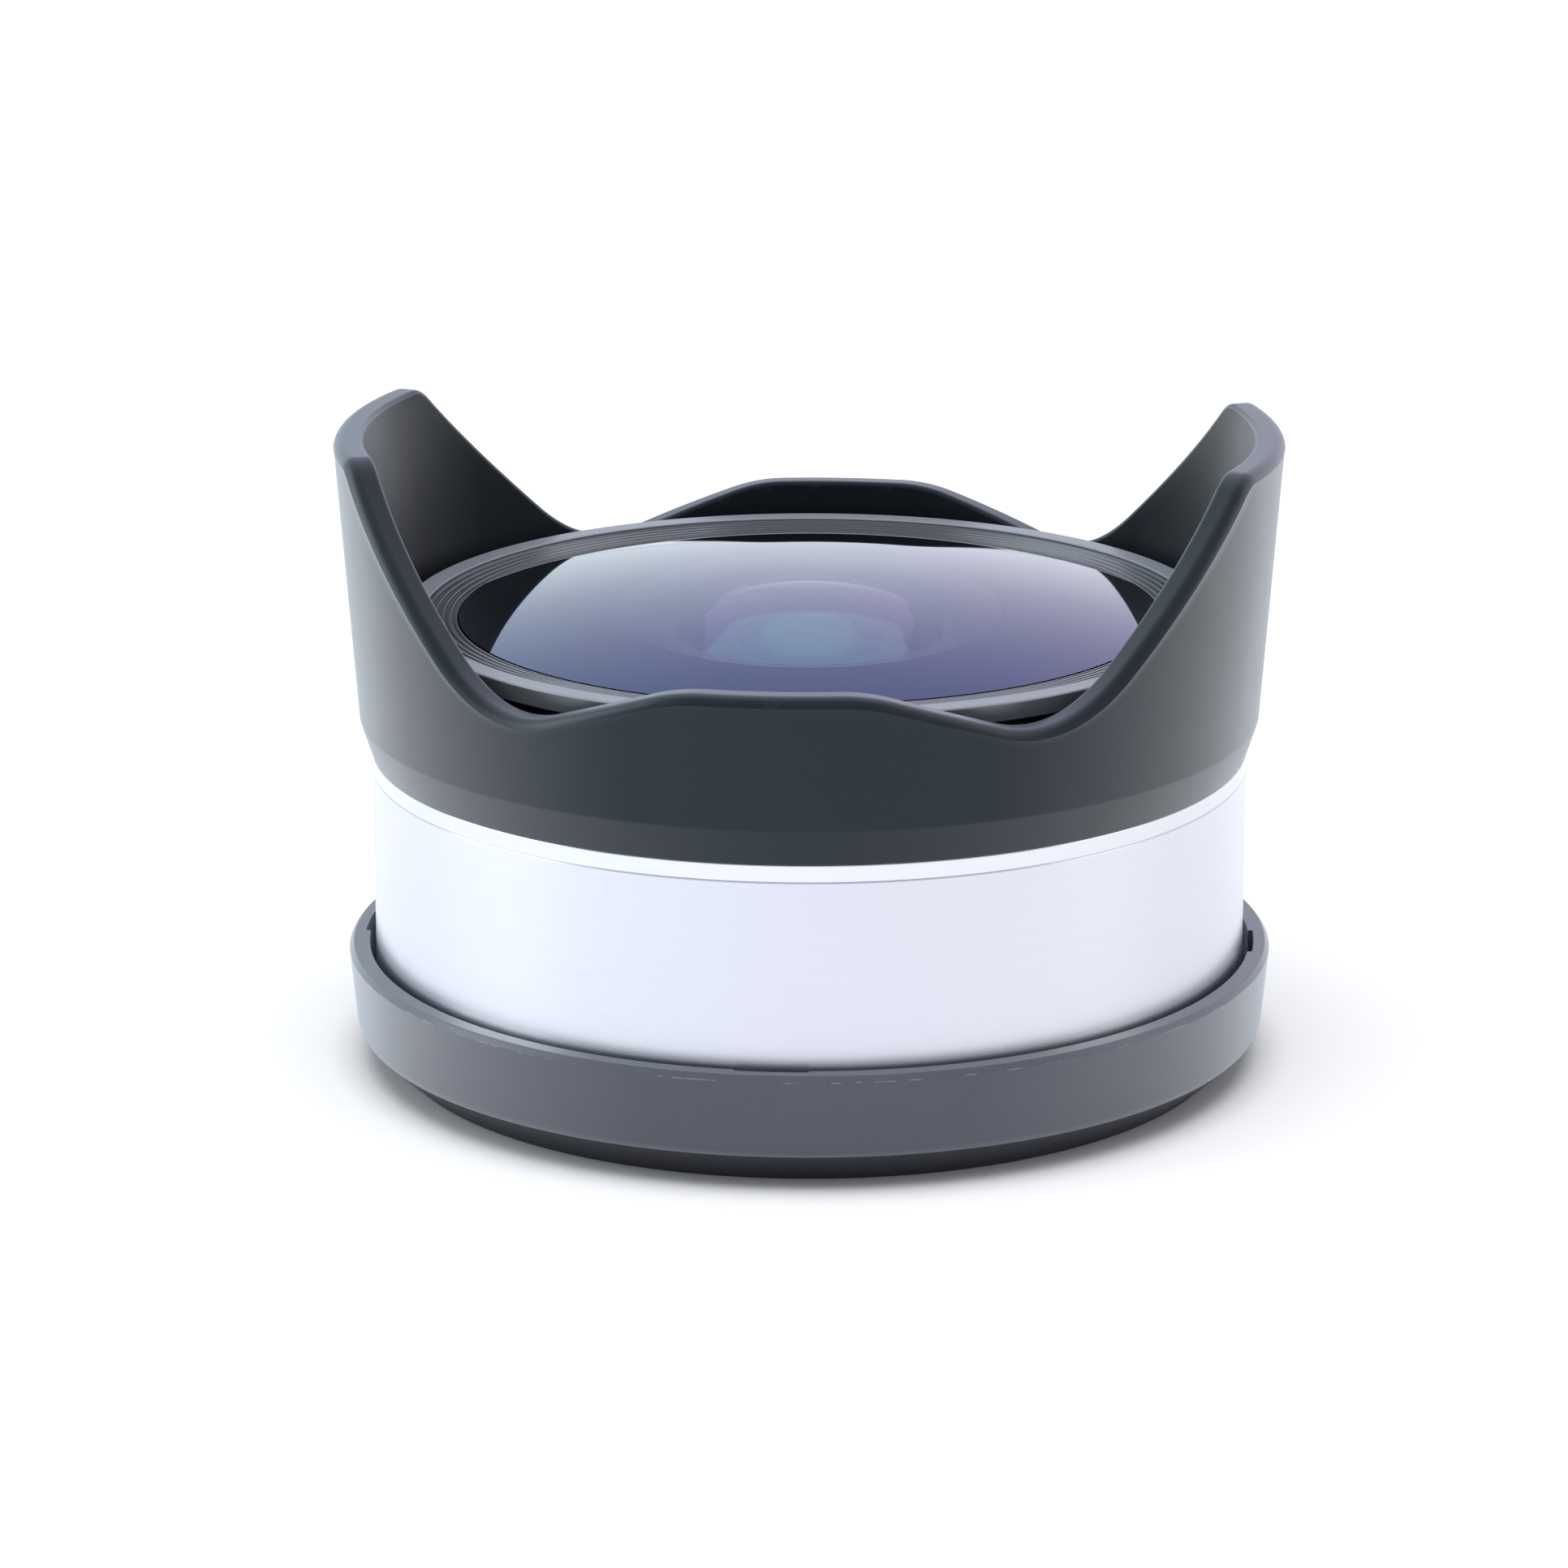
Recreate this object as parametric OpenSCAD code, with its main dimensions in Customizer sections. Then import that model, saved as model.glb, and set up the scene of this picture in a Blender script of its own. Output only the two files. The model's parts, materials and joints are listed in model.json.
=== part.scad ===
// Fisheye converter lens: a petal hood, a four-element lens group in two cells, a turned barrel with
// a rear bayonet and its release slider, standing on its push-on rear cap.
// Millimetres. +Z is the optical axis, towards the front glass. The origin is under the rear cap.
// Tall petals lie along X, low petals along Y. The release slider is on the +Y side.

/* [Barrel] */
// Outer radius of the barrel
barrel_r = 31; // [29:0.1:34]
// Length of the barrel's outer face
barrel_len = 17.9; // [17:0.1:22]
// Thickness of the barrel's wall
barrel_wall = 1.1; // [0.9:0.05:1.3]
// Edge chamfer at the foot of the barrel
barrel_chamfer = 0.35; // [0.1:0.05:0.6]
// Thickness of the two flanges inside the barrel
flange_t = 1.6; // [1.4:0.1:1.9]
// How far the lower flange reaches in past the register bore
flange_lap = 0.7; // [0.4:0.05:1.2]
// Width of the upper flange, in radius
top_flange_w = 7; // [6.6:0.1:7.6]
// Depth of the hood's socket above the upper flange
socket_h = 0.8; // [0.5:0.05:1.2]
// Height of the polished trim ring
trim_h = 1.2; // [0.8:0.05:2]

/* [Petal hood] */
// Height of the chamfer under the hood
hood_chamfer_h = 2.6; // [1.8:0.1:3.2]
// Width of the chamfer under the hood, in radius
hood_chamfer_w = 0.84; // [0.4:0.02:1.2]
// How far the hood's wall leans out, in degrees
hood_lean = 4.2; // [1:0.1:6]
// Thickness of the hood's wall
hood_wall = 2.1; // [1.7:0.05:2.3]
// Rounding of the hood's rim
hood_round = 0.55; // [0.3:0.05:0.8]
// Height of the tall petals above the chamfer
tall_rise = 20; // [16:0.25:24]
// Height of the low petals above the chamfer
low_rise = 9.2; // [8.2:0.1:12]
// Half width of a tall petal's flat top, in degrees
tall_half = 21.6; // [17:0.2:26]
// Half width of a low petal's flat top, in degrees
low_half = 11.7; // [8:0.1:15]
// Slope of a tall petal's sides, in degrees
tall_slope = 40.8; // [38:0.2:46]
// Slope of a low petal's sides, in degrees
low_slope = 17.1; // [14:0.1:20]
// Blend height where a tall and a low petal meet
dip_blend = 5.6; // [3:0.1:6.5]
// Blend height at a tall petal's corners
tall_blend = 0.9; // [0.5:0.1:2.5]
// Blend height at a low petal's corners
low_blend = 0.6; // [0.4:0.1:1.6]
// Height of the hood's base above the upper flange
hood_base_h = 3.5; // [3.2:0.05:4]
// Width of the hood's base, in radius
hood_base_w = 2.15; // [2:0.05:2.3]

/* [Front cell and glass] */
// Gap between the collar round the glass and the hood
collar_gap = 0.86; // [0.6:0.02:1.2]
// Width of the collar's top face, in radius
collar_rim_w = 1.6; // [1.4:0.05:2]
// Thickness of the collar above the groove round it
collar_t = 1.3; // [1.1:0.05:1.6]
// Height of the glass seat above the cell's floor
seat_h = 4.5; // [4.2:0.1:6]
// Thickness of the front cell's floor
cell_floor = 2; // [1.8:0.1:2.6]
// How much wider the retaining ring is than the glass, in radius
lip_lap = 1.55; // [1.3:0.05:1.7]
// Thickness of the front element's rim, under the retaining ring
glass_edge = 2.95; // [2.6:0.05:3.4]
// Height of the dome's edge above that rim
glass_step = 1.98; // [1.6:0.02:2.3]
// Thickness of the front element at its middle
glass_mid = 2.5; // [1.8:0.1:3.2]
// Rise of the dome from its edge to its middle
dome_rise = 2.72; // [2:0.02:3.6]
// Width of the flat land round the hollow behind the dome
bowl_land = 12.6; // [10:0.1:14]
// Width of the ribbed retaining ring, in radius
lip_w = 2.3; // [2.1:0.05:2.6]
// Thickness of the ribbed retaining ring
lip_t = 1.75; // [1.5:0.05:2.1]
// Number of ribs on the retaining ring
lip_ribs = 4; // [3:1:5]
// Thickness of the seal under the retaining ring
seal_t = 0.39; // [0.25:0.02:0.6]

/* [Rear cell and glass] */
// Gap between the rear cell's flange and the barrel's upper flange
cell_flange_gap = 1.9; // [0.8:0.1:2.4]
// Width of the rear cell's flange, in radius
cell_flange_w = 5.5; // [4.8:0.1:6.2]
// Thickness of the spacing shim
shim_t = 0.2; // [0.1:0.05:0.4]
// Wall of the rear cell round the second element
second_wall = 3.55; // [3.2:0.05:4]
// Thickness of the second element at its edge
second_edge = 2.2; // [1.8:0.1:2.6]
// Thickness of the second element at its middle
second_mid = 1.15; // [0.8:0.05:1.8]
// Rise of the second element's front from its edge to its middle
second_rise = 2.9; // [2.2:0.05:3.4]
// Wall of the rear cell round the two cemented elements
doublet_wall = 5.15; // [4.7:0.05:5.7]
// Edge thickness of the third element
third_edge = 2; // [1.6:0.1:2.4]
// Rise of the third element's front from its edge to its middle
third_rise = 2.6; // [2:0.05:3]
// Depth of the cemented faces
cement_depth = 3.3; // [2.4:0.05:3.7]
// Edge thickness of the fourth element
fourth_edge = 3.2; // [2.8:0.1:3.6]
// Rise of the fourth element's back from its edge to its middle
fourth_rise = 1.2; // [0.8:0.05:1.4]
// How far the light stop reaches in past its seat
stop_lip = 2.1; // [1:0.1:3]

/* [Bayonet and lock] */
// Wall of the bayonet ring round its register bore
ring_wall = 3.1; // [2.8:0.05:3.6]
// Length of the register bore that takes the host lens
register_h = 1.4; // [1:0.1:1.6]
// How far the bayonet lugs reach in past the register bore
lug_w = 1.5; // [1.2:0.05:2]
// Thickness of the bayonet lugs
lug_t = 1.2; // [0.9:0.1:1.3]
// Span of each bayonet lug, in degrees
lug_span = 46; // [36:1:60]
// Turn of the release slider, in degrees
slider_turn = 6; // [4:0.5:8]
// Lift of the lock pin
pin_lift = 1.5; // [1:0.1:1.7]
// Radius of the lock pin
pin_r = 0.6; // [0.5:0.05:0.65]
// How far the lock pin stands out of the rear face
pin_reach = 1.2; // [0.8:0.05:1.3]
// Coils of the lock spring
spring_coils = 3.5; // [2.5:0.5:3.5]
// Wire diameter of the lock spring
spring_wire = 0.28; // [0.2:0.02:0.3]
// Width of the release knob
knob_w = 7; // [6:0.1:8]
// Height of the release knob
knob_h = 4.2; // [3.8:0.1:4.6]
// How far the release knob stands out of the barrel
knob_reach = 1.3; // [0.9:0.1:1.6]
// Number of grip ribs on the release knob
knob_ribs = 5; // [3:1:6]

/* [Rear cap] */
// Thickness of the cap's floor
cap_floor = 1.8; // [1.4:0.05:2]
// Height of the cap's rim above the table
cap_h = 8.35; // [7.5:0.05:9.5]
// Thickness of the cap's wall
cap_wall = 1.1; // [0.9:0.05:1.6]
// How much wider the cap's rim is than its lower edge, in radius
cap_taper = 0.5; // [0.1:0.05:0.6]
// Height of the bevel under the cap
cap_bevel_h = 2.6; // [2:0.1:3]
// Width of the bevel under the cap, in radius
cap_bevel_w = 2.9; // [2:0.1:3.4]
// Thickness of the grip pads inside the cap
pad_t = 0.55; // [0.3:0.05:0.7]
// Clearance between the grip pads and the barrel
pad_gap = 0.25; // [0.15:0.05:0.4]
// Number of slots between the grip pads
pad_slots = 4; // [3:1:8]
// Width of each slot between the grip pads
pad_slot_w = 5; // [3:0.5:8]
// Room between the cap's floor and the barrel's rear face
cap_room = 1.6; // [1.5:0.05:2]

/* [Hidden] */
$fn = 96;

// Clearances: pieces that are screwed or pressed together, pieces that slide, and room beyond a cut
seat_gap = 0.1;
slide_gap = 0.2;
clear_gap = 0.3;
thread_gap = 0.05;
tip_room = 0.2;
cut = 1;

// Levels up the axis
rear_z = cap_floor + cap_room;
top_z = rear_z + barrel_len;
shelf_z = top_z - socket_h;
hood_z = top_z + trim_h;
chamfer_z = hood_z + hood_chamfer_h;
hood_base_z = shelf_z + hood_base_h;
floor_z = shelf_z + cell_floor;
seat_z = floor_z + seat_h;
relief_z = rear_z + register_h;
lug_relief = 0.3;
lug_z = relief_z + lug_relief;
recess_z = lug_z + lug_t;
recess_h = 1.9;
flange_z = recess_z + recess_h;
deck_z = flange_z + flange_t;

// Barrel and hood
bore_r = barrel_r - barrel_wall;
top_flange_r = bore_r - top_flange_w;
spigot_r = bore_r - seat_gap;
hood_base_r = spigot_r - hood_base_w;
hood_mid_r = (spigot_r + hood_base_r) / 2;
hood_chamfer_r = barrel_r + hood_chamfer_w;
hood_in_r = hood_r(hood_base_z) - hood_wall;
tall_z = chamfer_z + tall_rise;
low_z = chamfer_z + low_rise;
hood_steps = 120;

// Bayonet ring: register bore, recess behind the lugs and screw circle
ring_out_r = bore_r - seat_gap;
register_r = ring_out_r - ring_wall;
recess_w = 0.4;
recess_r = register_r + recess_w;
lug_r = register_r - lug_w;
low_flange_r = register_r - flange_lap;
ring_mid_r = (register_r + ring_out_r) / 2;
lug_count = 3;
lug_az = 30;
index_az = 270;
index_r = 0.8;
index_t = 0.4;
spring_leaf_t = 0.25;
spring_leaf_inset = 0.2;
spring_leaf_trim = 8;
spring_leaf_span = lug_span - spring_leaf_trim;

// Front cell: the glass bore, the thread above it and the screws under its wall
waist_r = hood_base_r - seat_gap;
collar_r = hood_in_r - collar_gap;
thread_r = collar_r - collar_rim_w;
lip_out_r = thread_r - thread_gap;
lip_r = lip_out_r - lip_w;
glass_r = lip_out_r - lip_lap;
glass_bore_r = glass_r + seat_gap;
ledge_w = 3.6;
well_r = glass_r - ledge_w;
cell_screw_r = (well_r + waist_r) / 2;
glass_face_r = lip_r - seat_gap;
glass_rim_z = seat_z + glass_edge;
glass_curve = curve_of(glass_face_r, dome_rise);
dome_z = glass_rim_z + glass_step + dome_rise;
bowl_r = glass_r - bowl_land;
bowl_curve = curve_of(bowl_r, dome_z - glass_mid - seat_z);
seal_in_r = glass_face_r + seat_gap;
seal_out_r = glass_r - seat_gap;
lip_base_z = glass_rim_z + seal_t;
lip_inset = 0.15;
collar_z = lip_base_z + lip_t + lip_inset;

// Rear cell: its second element hangs from its flange, its cemented elements stand over its foot
cell_face_z = shelf_z - shim_t;
cell_flange_t = 1.5;
cell_flange_r = top_flange_r - cell_flange_gap;
cell_r = cell_flange_r - cell_flange_w;
cell_pass_r = cell_r + clear_gap;
second_r = cell_r - second_wall;
doublet_r = cell_r - doublet_wall;
neck_wall = 2.2;
neck_r = second_r + seat_gap + neck_wall;
second_lift = 1.7;
second_z = cell_face_z + second_lift;
second_seat_w = 1.6;
tube_r = second_r - second_seat_w;
tube_len = 3;
stop_seat_z = second_z - tube_len;
stop_t = 0.5;
spacer_wall = 0.5;
spacer_in_r = tube_r - thread_gap - spacer_wall;
second_hollow_r = spacer_in_r - thread_gap;
second_curve = curve_of(second_r, second_rise);
second_back = curve_of(second_hollow_r, second_edge + second_rise - second_mid);
cell_foot_z = flange_z;
foot_room = 1.8;
fourth_z = cell_foot_z + foot_room;
fourth_low_z = fourth_z - fourth_rise;
third_z = fourth_z + fourth_edge;
cement_z = third_z - cement_depth;
doublet_z = third_z + third_edge;
third_curve = curve_of(doublet_r, third_rise);
cement_curve = curve_of(doublet_r, cement_depth);
fourth_curve = curve_of(doublet_r, fourth_rise);
doublet_lap = 0.75;
stop_bore_r = doublet_r - doublet_lap;
stop_r = stop_bore_r - stop_lip;
shoulder_z = doublet_z + sag_between(third_curve, stop_bore_r, doublet_r) + thread_gap;
second_ring_w = 1.05;
second_ring_in = second_r - second_ring_w;
second_ring_z = second_z + second_edge + sag_between(second_curve, second_ring_in, second_r) + thread_gap;
second_ring_t = 0.9;
neck_top_z = second_ring_z + second_ring_t;
rear_ring_w = 1.1;
rear_ring_in = doublet_r - rear_ring_w;
rear_ring_z = fourth_z - sag_between(fourth_curve, rear_ring_in, doublet_r) - thread_gap;
rear_ring_t = 1.4;
cover_t = 0.8;
cover_screw_r = (doublet_r + cell_r) / 2;

// Screws: M1.4 with low heads, and how far each kind bites
screw_r = 0.7;
screw_head_r = 1.15;
screw_head_h = 0.65;
drive_w = 0.35;
drive_t = 0.3;
drive_share = 0.62;
hood_bite = 2.4;
cell_bite = 3;
rear_bite = 1.4;
cover_bite = 1.8;
bracket_bite = 1.3;
bayonet_bite = 1.3;
bracket_t = 1;
rear_screw_r = (cell_r + cell_flange_r) / 2;
screw_count = 3;
hood_screw_az = 30;
cell_screw_az = 0;
rear_screw_az = 60;
cover_screw_az = 30;
bayonet_screw_az = 0;

// Lock: pin, collar, stud and bracket stand at lock_az inside the slider plate, the knob beside them
lock_az = 79;
knob_lead = 11;
knob_az = lock_az + knob_lead;
lock_inset = 0.35;
lock_r = ring_mid_r - lock_inset;
plate_t = 0.5;
plate_out_r = bore_r - slide_gap;
plate_in_r = plate_out_r - plate_t;
pin_gap = 0.06;
pin_room = 0.4;
collar_pin_w = 0.4;
collar_pin_r = pin_r + collar_pin_w;
collar_pin_t = 1.4;
spring_len = 3;
lock_room = shelf_z - flange_t - deck_z - 2 * bracket_t - collar_pin_t - spring_len;
collar_pin_z = deck_z + bracket_t + lock_room / 2;
stud_r = 0.45;
stud_gap = 0.12;
stud_z = collar_pin_z + collar_pin_t / 2;
spring_z = collar_pin_z + collar_pin_t;
bridge_z = spring_z + spring_len;
pin_top = 0.5;
pin_top_z = bridge_z + pin_top;
spring_room = 0.12;
spring_mean_r = pin_r + spring_room + spring_wire / 2;
bracket_w = 3.6;
bracket_foot_w = 9.2;
bracket_depth = 3.2;
bracket_in_r = lock_r - bracket_depth;
bracket_post_t = 1.2;
bracket_out_r = plate_in_r - clear_gap;
bracket_screw_off = 3.3;
bracket_screw_inset = 0.3;
bracket_screw_r = lock_r - bracket_screw_inset;

// Knob, and the plate's height and span
plate_margin = 0.7;
plate_z = stud_z - stud_r - stud_gap - plate_margin;
plate_h = pin_lift + 2 * (stud_r + stud_gap + plate_margin);
plate_lead = 4;
plate_from = lock_az - slider_turn - plate_lead;
knob_mid_r = barrel_r + clear_gap;
knob_out_r = barrel_r + knob_reach;
knob_sink = 0.2;
knob_span = arc_deg(knob_w, barrel_r);
plate_to = knob_az + knob_span / 2;
knob_z = plate_z + plate_h / 2;
knob_shoulder = 1.1;
knob_neck_w = knob_w - 2 * knob_shoulder;
knob_neck_span = arc_deg(knob_neck_w, barrel_r);
knob_brow = 0.9;
knob_neck_h = knob_h - 2 * knob_brow;
window_h = knob_neck_h + 2 * slide_gap;
window_from = knob_az - knob_neck_span / 2 - arc_deg(slide_gap, barrel_r);
window_to = knob_az + slider_turn + knob_neck_span / 2 + arc_deg(slide_gap, barrel_r);
knob_rib_r = 0.28;
knob_screw_r = 0.5;
knob_screw_head_r = 0.9;
knob_screw_head_t = 0.3;
knob_screw_len = 1.6;

// Rear cap
pad_r = barrel_r + pad_gap;
cap_in_r = pad_r + pad_t;
cap_rim_r = cap_in_r + cap_wall;
cap_edge_r = cap_rim_r - cap_taper;
cap_foot_r = cap_edge_r - cap_bevel_w;
cap_step_r = lock_r + pin_r + pin_room;
cap_step_z = rear_z - slide_gap;
pad_drop = 0.35;
pad_top_z = cap_h - pad_drop;
pad_slot_h = 3.2;
slot_floor_z = cap_h - pad_slot_h;
foot_recess = 0.4;
foot_ring_w = 4;
cap_edge_round = 0.3;

// Colours, as the photograph shows them
hood_grey = "#3d4045";
cap_grey = "#5d6169";
cell_black = "#1c1d20";
satin = "#e3e3ee";
polished = "#f4f4fa";
steel = "#b9bcc4";
glass_tint = [0.45, 0.47, 0.66, 0.75];
clear_tint = [0.75, 0.82, 0.86, 0.6];

// Depth of a sphere's cap of radius c at the radius r, and between two radii
function sag(c, r) = c - sqrt(c * c - r * r);
function sag_between(c, r0, r1) = sag(c, r1) - sag(c, r0);
// Radius of the sphere whose cap has the radius r and the depth d
function curve_of(r, d) = (r * r + d * d) / (2 * d);
// Angle of an arc of length w at the radius r
function arc_deg(w, r) = w / r * 180 / PI;
// Smooth least and greatest of two heights, blended over k
function blend_min(a, b, k) = min(a, b) - pow(max(k - abs(a - b), 0), 2) / (4 * k);
function blend_max(a, b, k) = -blend_min(-a, -b, k);

// Height of the hood's rim at the angle a: flat tall petals at 0 and 180, low petals at 90 and 270
function fold_angle(a) = let (b = abs(a) % 180) min(b, 180 - b);
function arc_len(deg) = hood_chamfer_r * deg * PI / 180;
function tall_side(f) = tall_z - tan(tall_slope) * arc_len(f - tall_half);
function low_side(f) = low_z - tan(low_slope) * arc_len(90 - low_half - f);
function tall_petal(f) = blend_min(tall_z, tall_side(f), tall_blend);
function low_petal(f) = blend_min(low_z, low_side(f), low_blend);
function rim_z(a) = let (f = fold_angle(a)) blend_max(tall_petal(f), low_petal(f), dip_blend);

// Outer radius of the hood's wall at the height z
function hood_r(z) = hood_chamfer_r + (z - chamfer_z) * tan(hood_lean);

// Section of the hood at the angle a, as [radius, height] points from the spigot's foot round the rim
function hood_section(a) = let (z = rim_z(a), e = hood_round, q = e * (1 - sqrt(0.5)), r = hood_r(z)) [
    [spigot_r, shelf_z], [spigot_r, hood_z], [barrel_r, hood_z], [hood_chamfer_r, chamfer_z],
    [hood_r(z - e), z - e], [r - q, z - q], [r - e, z],
    [r - hood_wall + e, z], [r - hood_wall + q, z - q], [hood_r(z - e) - hood_wall, z - e],
    [hood_r(hood_base_z) - hood_wall, hood_base_z], [hood_base_r, hood_base_z], [hood_base_r, shelf_z]
];

// Points of a section turned to the angle a
function turned(section, a) = [for (p = section) [p[0] * cos(a), p[0] * sin(a), p[1]]];
function flat(lists) = [for (l = lists) each l];

// Triangles between closed rings of m points; the last ring joins the first when looped
function ring_faces(n, m, looped) = [
    for (i = [0 : looped ? n - 1 : n - 2], j = [0 : m - 1])
        let (k = (i + 1) % n, l = (j + 1) % m)
        each [[i * m + j, k * m + j, k * m + l], [i * m + j, k * m + l, i * m + l]]
];

// Helix of the lock spring: 8 rings a curl, 6 sides, with its ends on the two seats
spring_rings = round(spring_coils * 8);
spring_end_gap = 0.01;
spring_rise = spring_len - spring_wire - 2 * spring_end_gap;
function spring_at(i) = let (a = i * 45, t = i / spring_rings)
    [spring_mean_r * cos(a), spring_mean_r * sin(a), spring_wire / 2 + spring_end_gap + spring_rise * t];
function spring_ring(i) = let (a = i * 45, p = spring_at(i))
    [for (s = [0 : 5]) let (b = s * 60 + 30, w = spring_wire / 2 * cos(b))
        [p[0] + w * cos(a), p[1] + w * sin(a), p[2] + spring_wire / 2 * sin(b)]];
spring_gap = min([for (i = [0 : spring_rings - 8]) norm(spring_at(i + 8) - spring_at(i))]) - spring_wire;
echo(least_gap_of_lock_spring = spring_gap);

// Shared shapes

module tube(r_out, r_in, z0, z1) {
    rotate_extrude()
        translate([r_in, z0])
            square([r_out - r_in, z1 - z0]);
}

// Sector of a ring from the angle a0 to a1
module arc_block(r_in, r_out, z0, z1, a0, a1) {
    rotate([0, 0, a0])
        rotate_extrude(angle = a1 - a0)
            translate([r_in, z0])
                square([r_out - r_in, z1 - z0]);
}

// Children placed n times round the axis at the radius r
module ring_of(n, r, a0) {
    for (i = [0 : n - 1])
        rotate([0, 0, a0 + i * 360 / n])
            translate([r, 0, 0])
                children();
}

// Screw standing on its head at z = 0, threaded upwards, with a cross drive
module screw(len, r = screw_r, head_r = screw_head_r, head_h = screw_head_h) {
    difference() {
        union() {
            translate([0, 0, -head_h])
                cylinder(r = head_r, h = head_h);
            cylinder(r = r, h = len);
        }
        for (a = [0, 90])
            rotate([0, 0, a])
                translate([-head_r * drive_share, -drive_w / 2, -head_h - cut])
                    cube([2 * head_r * drive_share, drive_w, cut + drive_t]);
    }
}

// Hole for a screw, from z0 to z1
module screw_hole(z0, z1, gap = thread_gap) {
    translate([0, 0, z0])
        cylinder(r = screw_r + gap, h = z1 - z0);
}

// Meniscus on the level z: a dome in front, and behind it a hollow inside a flat land
module meniscus(r, z, edge, front_c, back_c, hollow_r) {
    top = z + edge + sag(front_c, r);
    difference() {
        intersection() {
            translate([0, 0, z])
                cylinder(r = r, h = top - z);
            translate([0, 0, top - front_c])
                sphere(r = front_c);
        }
        translate([0, 0, z + sag(back_c, hollow_r) - back_c])
            sphere(r = back_c);
    }
}

// Rear cap and barrel

module rear_cap() {
    color(cap_grey)
        difference() {
            rotate_extrude()
                polygon([
                    [0, foot_recess], [cap_foot_r - foot_ring_w, foot_recess],
                    [cap_foot_r - foot_ring_w, 0], [cap_foot_r, 0], [cap_edge_r, cap_bevel_h],
                    [cap_rim_r, cap_h - cap_edge_round], [cap_rim_r - cap_edge_round, cap_h],
                    [cap_in_r + cap_edge_round, cap_h], [cap_in_r, cap_h - cap_edge_round],
                    [cap_in_r, pad_top_z], [pad_r, pad_top_z - pad_t / 2], [pad_r, cap_step_z],
                    [cap_step_r, cap_step_z], [cap_step_r, cap_floor], [0, cap_floor]
                ]);
            for (i = [0 : pad_slots - 1])
                rotate([0, 0, i * 360 / pad_slots])
                    intersection() {
                        tube(cap_in_r, pad_r - cut, slot_floor_z, cap_h);
                        translate([0, -pad_slot_w / 2, slot_floor_z])
                            cube([cap_rim_r, pad_slot_w, cap_h]);
                    }
        }
}

module outer_barrel() {
    color(satin)
        difference() {
            rotate_extrude()
                polygon([
                    [bore_r, rear_z], [barrel_r - barrel_chamfer, rear_z],
                    [barrel_r, rear_z + barrel_chamfer], [barrel_r, top_z], [bore_r, top_z],
                    [bore_r, shelf_z], [top_flange_r, shelf_z],
                    [top_flange_r, shelf_z - flange_t], [bore_r, shelf_z - flange_t], [bore_r, deck_z],
                    [low_flange_r, deck_z], [low_flange_r, flange_z], [bore_r, flange_z]
                ]);
            arc_block(bore_r - cut, barrel_r + cut, knob_z - window_h / 2, knob_z + window_h / 2,
                window_from, window_to);
            ring_of(screw_count, hood_mid_r, hood_screw_az)
                screw_hole(shelf_z - flange_t - cut, shelf_z + cut);
            ring_of(screw_count, cell_screw_r, cell_screw_az)
                screw_hole(shelf_z - flange_t - cut, shelf_z + cut);
            ring_of(screw_count, ring_mid_r, bayonet_screw_az)
                screw_hole(flange_z - cut, deck_z + cut);
            at_lock(lock_r)
                translate([0, 0, flange_z - cut])
                    cylinder(r = pin_r + slide_gap, h = flange_t + 2 * cut);
            at_bracket_screws()
                screw_hole(flange_z - cut, deck_z + cut);
        }
}

module trim_ring() {
    color(polished)
        tube(barrel_r, bore_r, top_z, hood_z);
}

module petal_hood() {
    stations = [for (i = [0 : hood_steps - 1]) i * 360 / hood_steps];
    sections = [for (a = stations) turned(hood_section(a), a)];
    color(hood_grey)
        difference() {
            polyhedron(flat(sections), ring_faces(hood_steps, len(sections[0]), true));
            ring_of(screw_count, hood_mid_r, hood_screw_az)
                screw_hole(shelf_z - cut, shelf_z + hood_bite + tip_room);
        }
}

// Front cell and glass

module front_cell() {
    edge = 0.2;
    groove_w = 0.7;
    groove_h = 1.2;
    groove_r = collar_r - groove_w;
    groove_top = collar_z - collar_t;
    groove_low = groove_top - groove_h;
    color(cell_black)
        difference() {
            rotate_extrude()
                polygon([
                    [cell_pass_r, shelf_z], [waist_r, shelf_z], [waist_r, hood_base_z + thread_gap],
                    [collar_r, hood_base_z + thread_gap], [collar_r, groove_low], [groove_r, groove_low],
                    [groove_r, groove_top], [collar_r, groove_top], [collar_r, collar_z - edge],
                    [collar_r - edge, collar_z], [thread_r, collar_z], [thread_r, glass_rim_z],
                    [glass_bore_r, glass_rim_z], [glass_bore_r, seat_z], [well_r, seat_z],
                    [well_r, floor_z], [cell_pass_r, floor_z]
                ]);
            ring_of(screw_count, cell_screw_r, cell_screw_az)
                screw_hole(shelf_z - cut, shelf_z + cell_bite + tip_room);
            ring_of(screw_count, rear_screw_r, rear_screw_az)
                screw_hole(shelf_z - cut, shelf_z + rear_bite + tip_room);
        }
}

// Ring with concentric ribs that step down towards the glass, and a plain land at its inner edge
module front_retaining_ring() {
    inner_land = 0.2;
    drop = 0.05;
    groove = 0.2;
    shares = [0.55, 0.7, 0.9];
    pitch = (lip_w - inner_land) / lip_ribs;
    top = collar_z - lip_inset;
    land_z = top - lip_ribs * drop;
    ribs = [for (i = [0 : lip_ribs - 1]) let (r = lip_out_r - i * pitch, z = top - i * drop) each [
        [r, z], [r - pitch * shares[0], z],
        [r - pitch * shares[1], z - groove], [r - pitch * shares[2], z - groove]
    ]];
    color(cell_black)
        rotate_extrude()
            polygon(concat(ribs, [[lip_r + inner_land, land_z], [lip_r, land_z], [lip_r, lip_base_z],
                [lip_out_r, lip_base_z]]));
}

module front_seal() {
    color("#101012")
        tube(seal_out_r, seal_in_r, glass_rim_z, lip_base_z);
}

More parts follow.
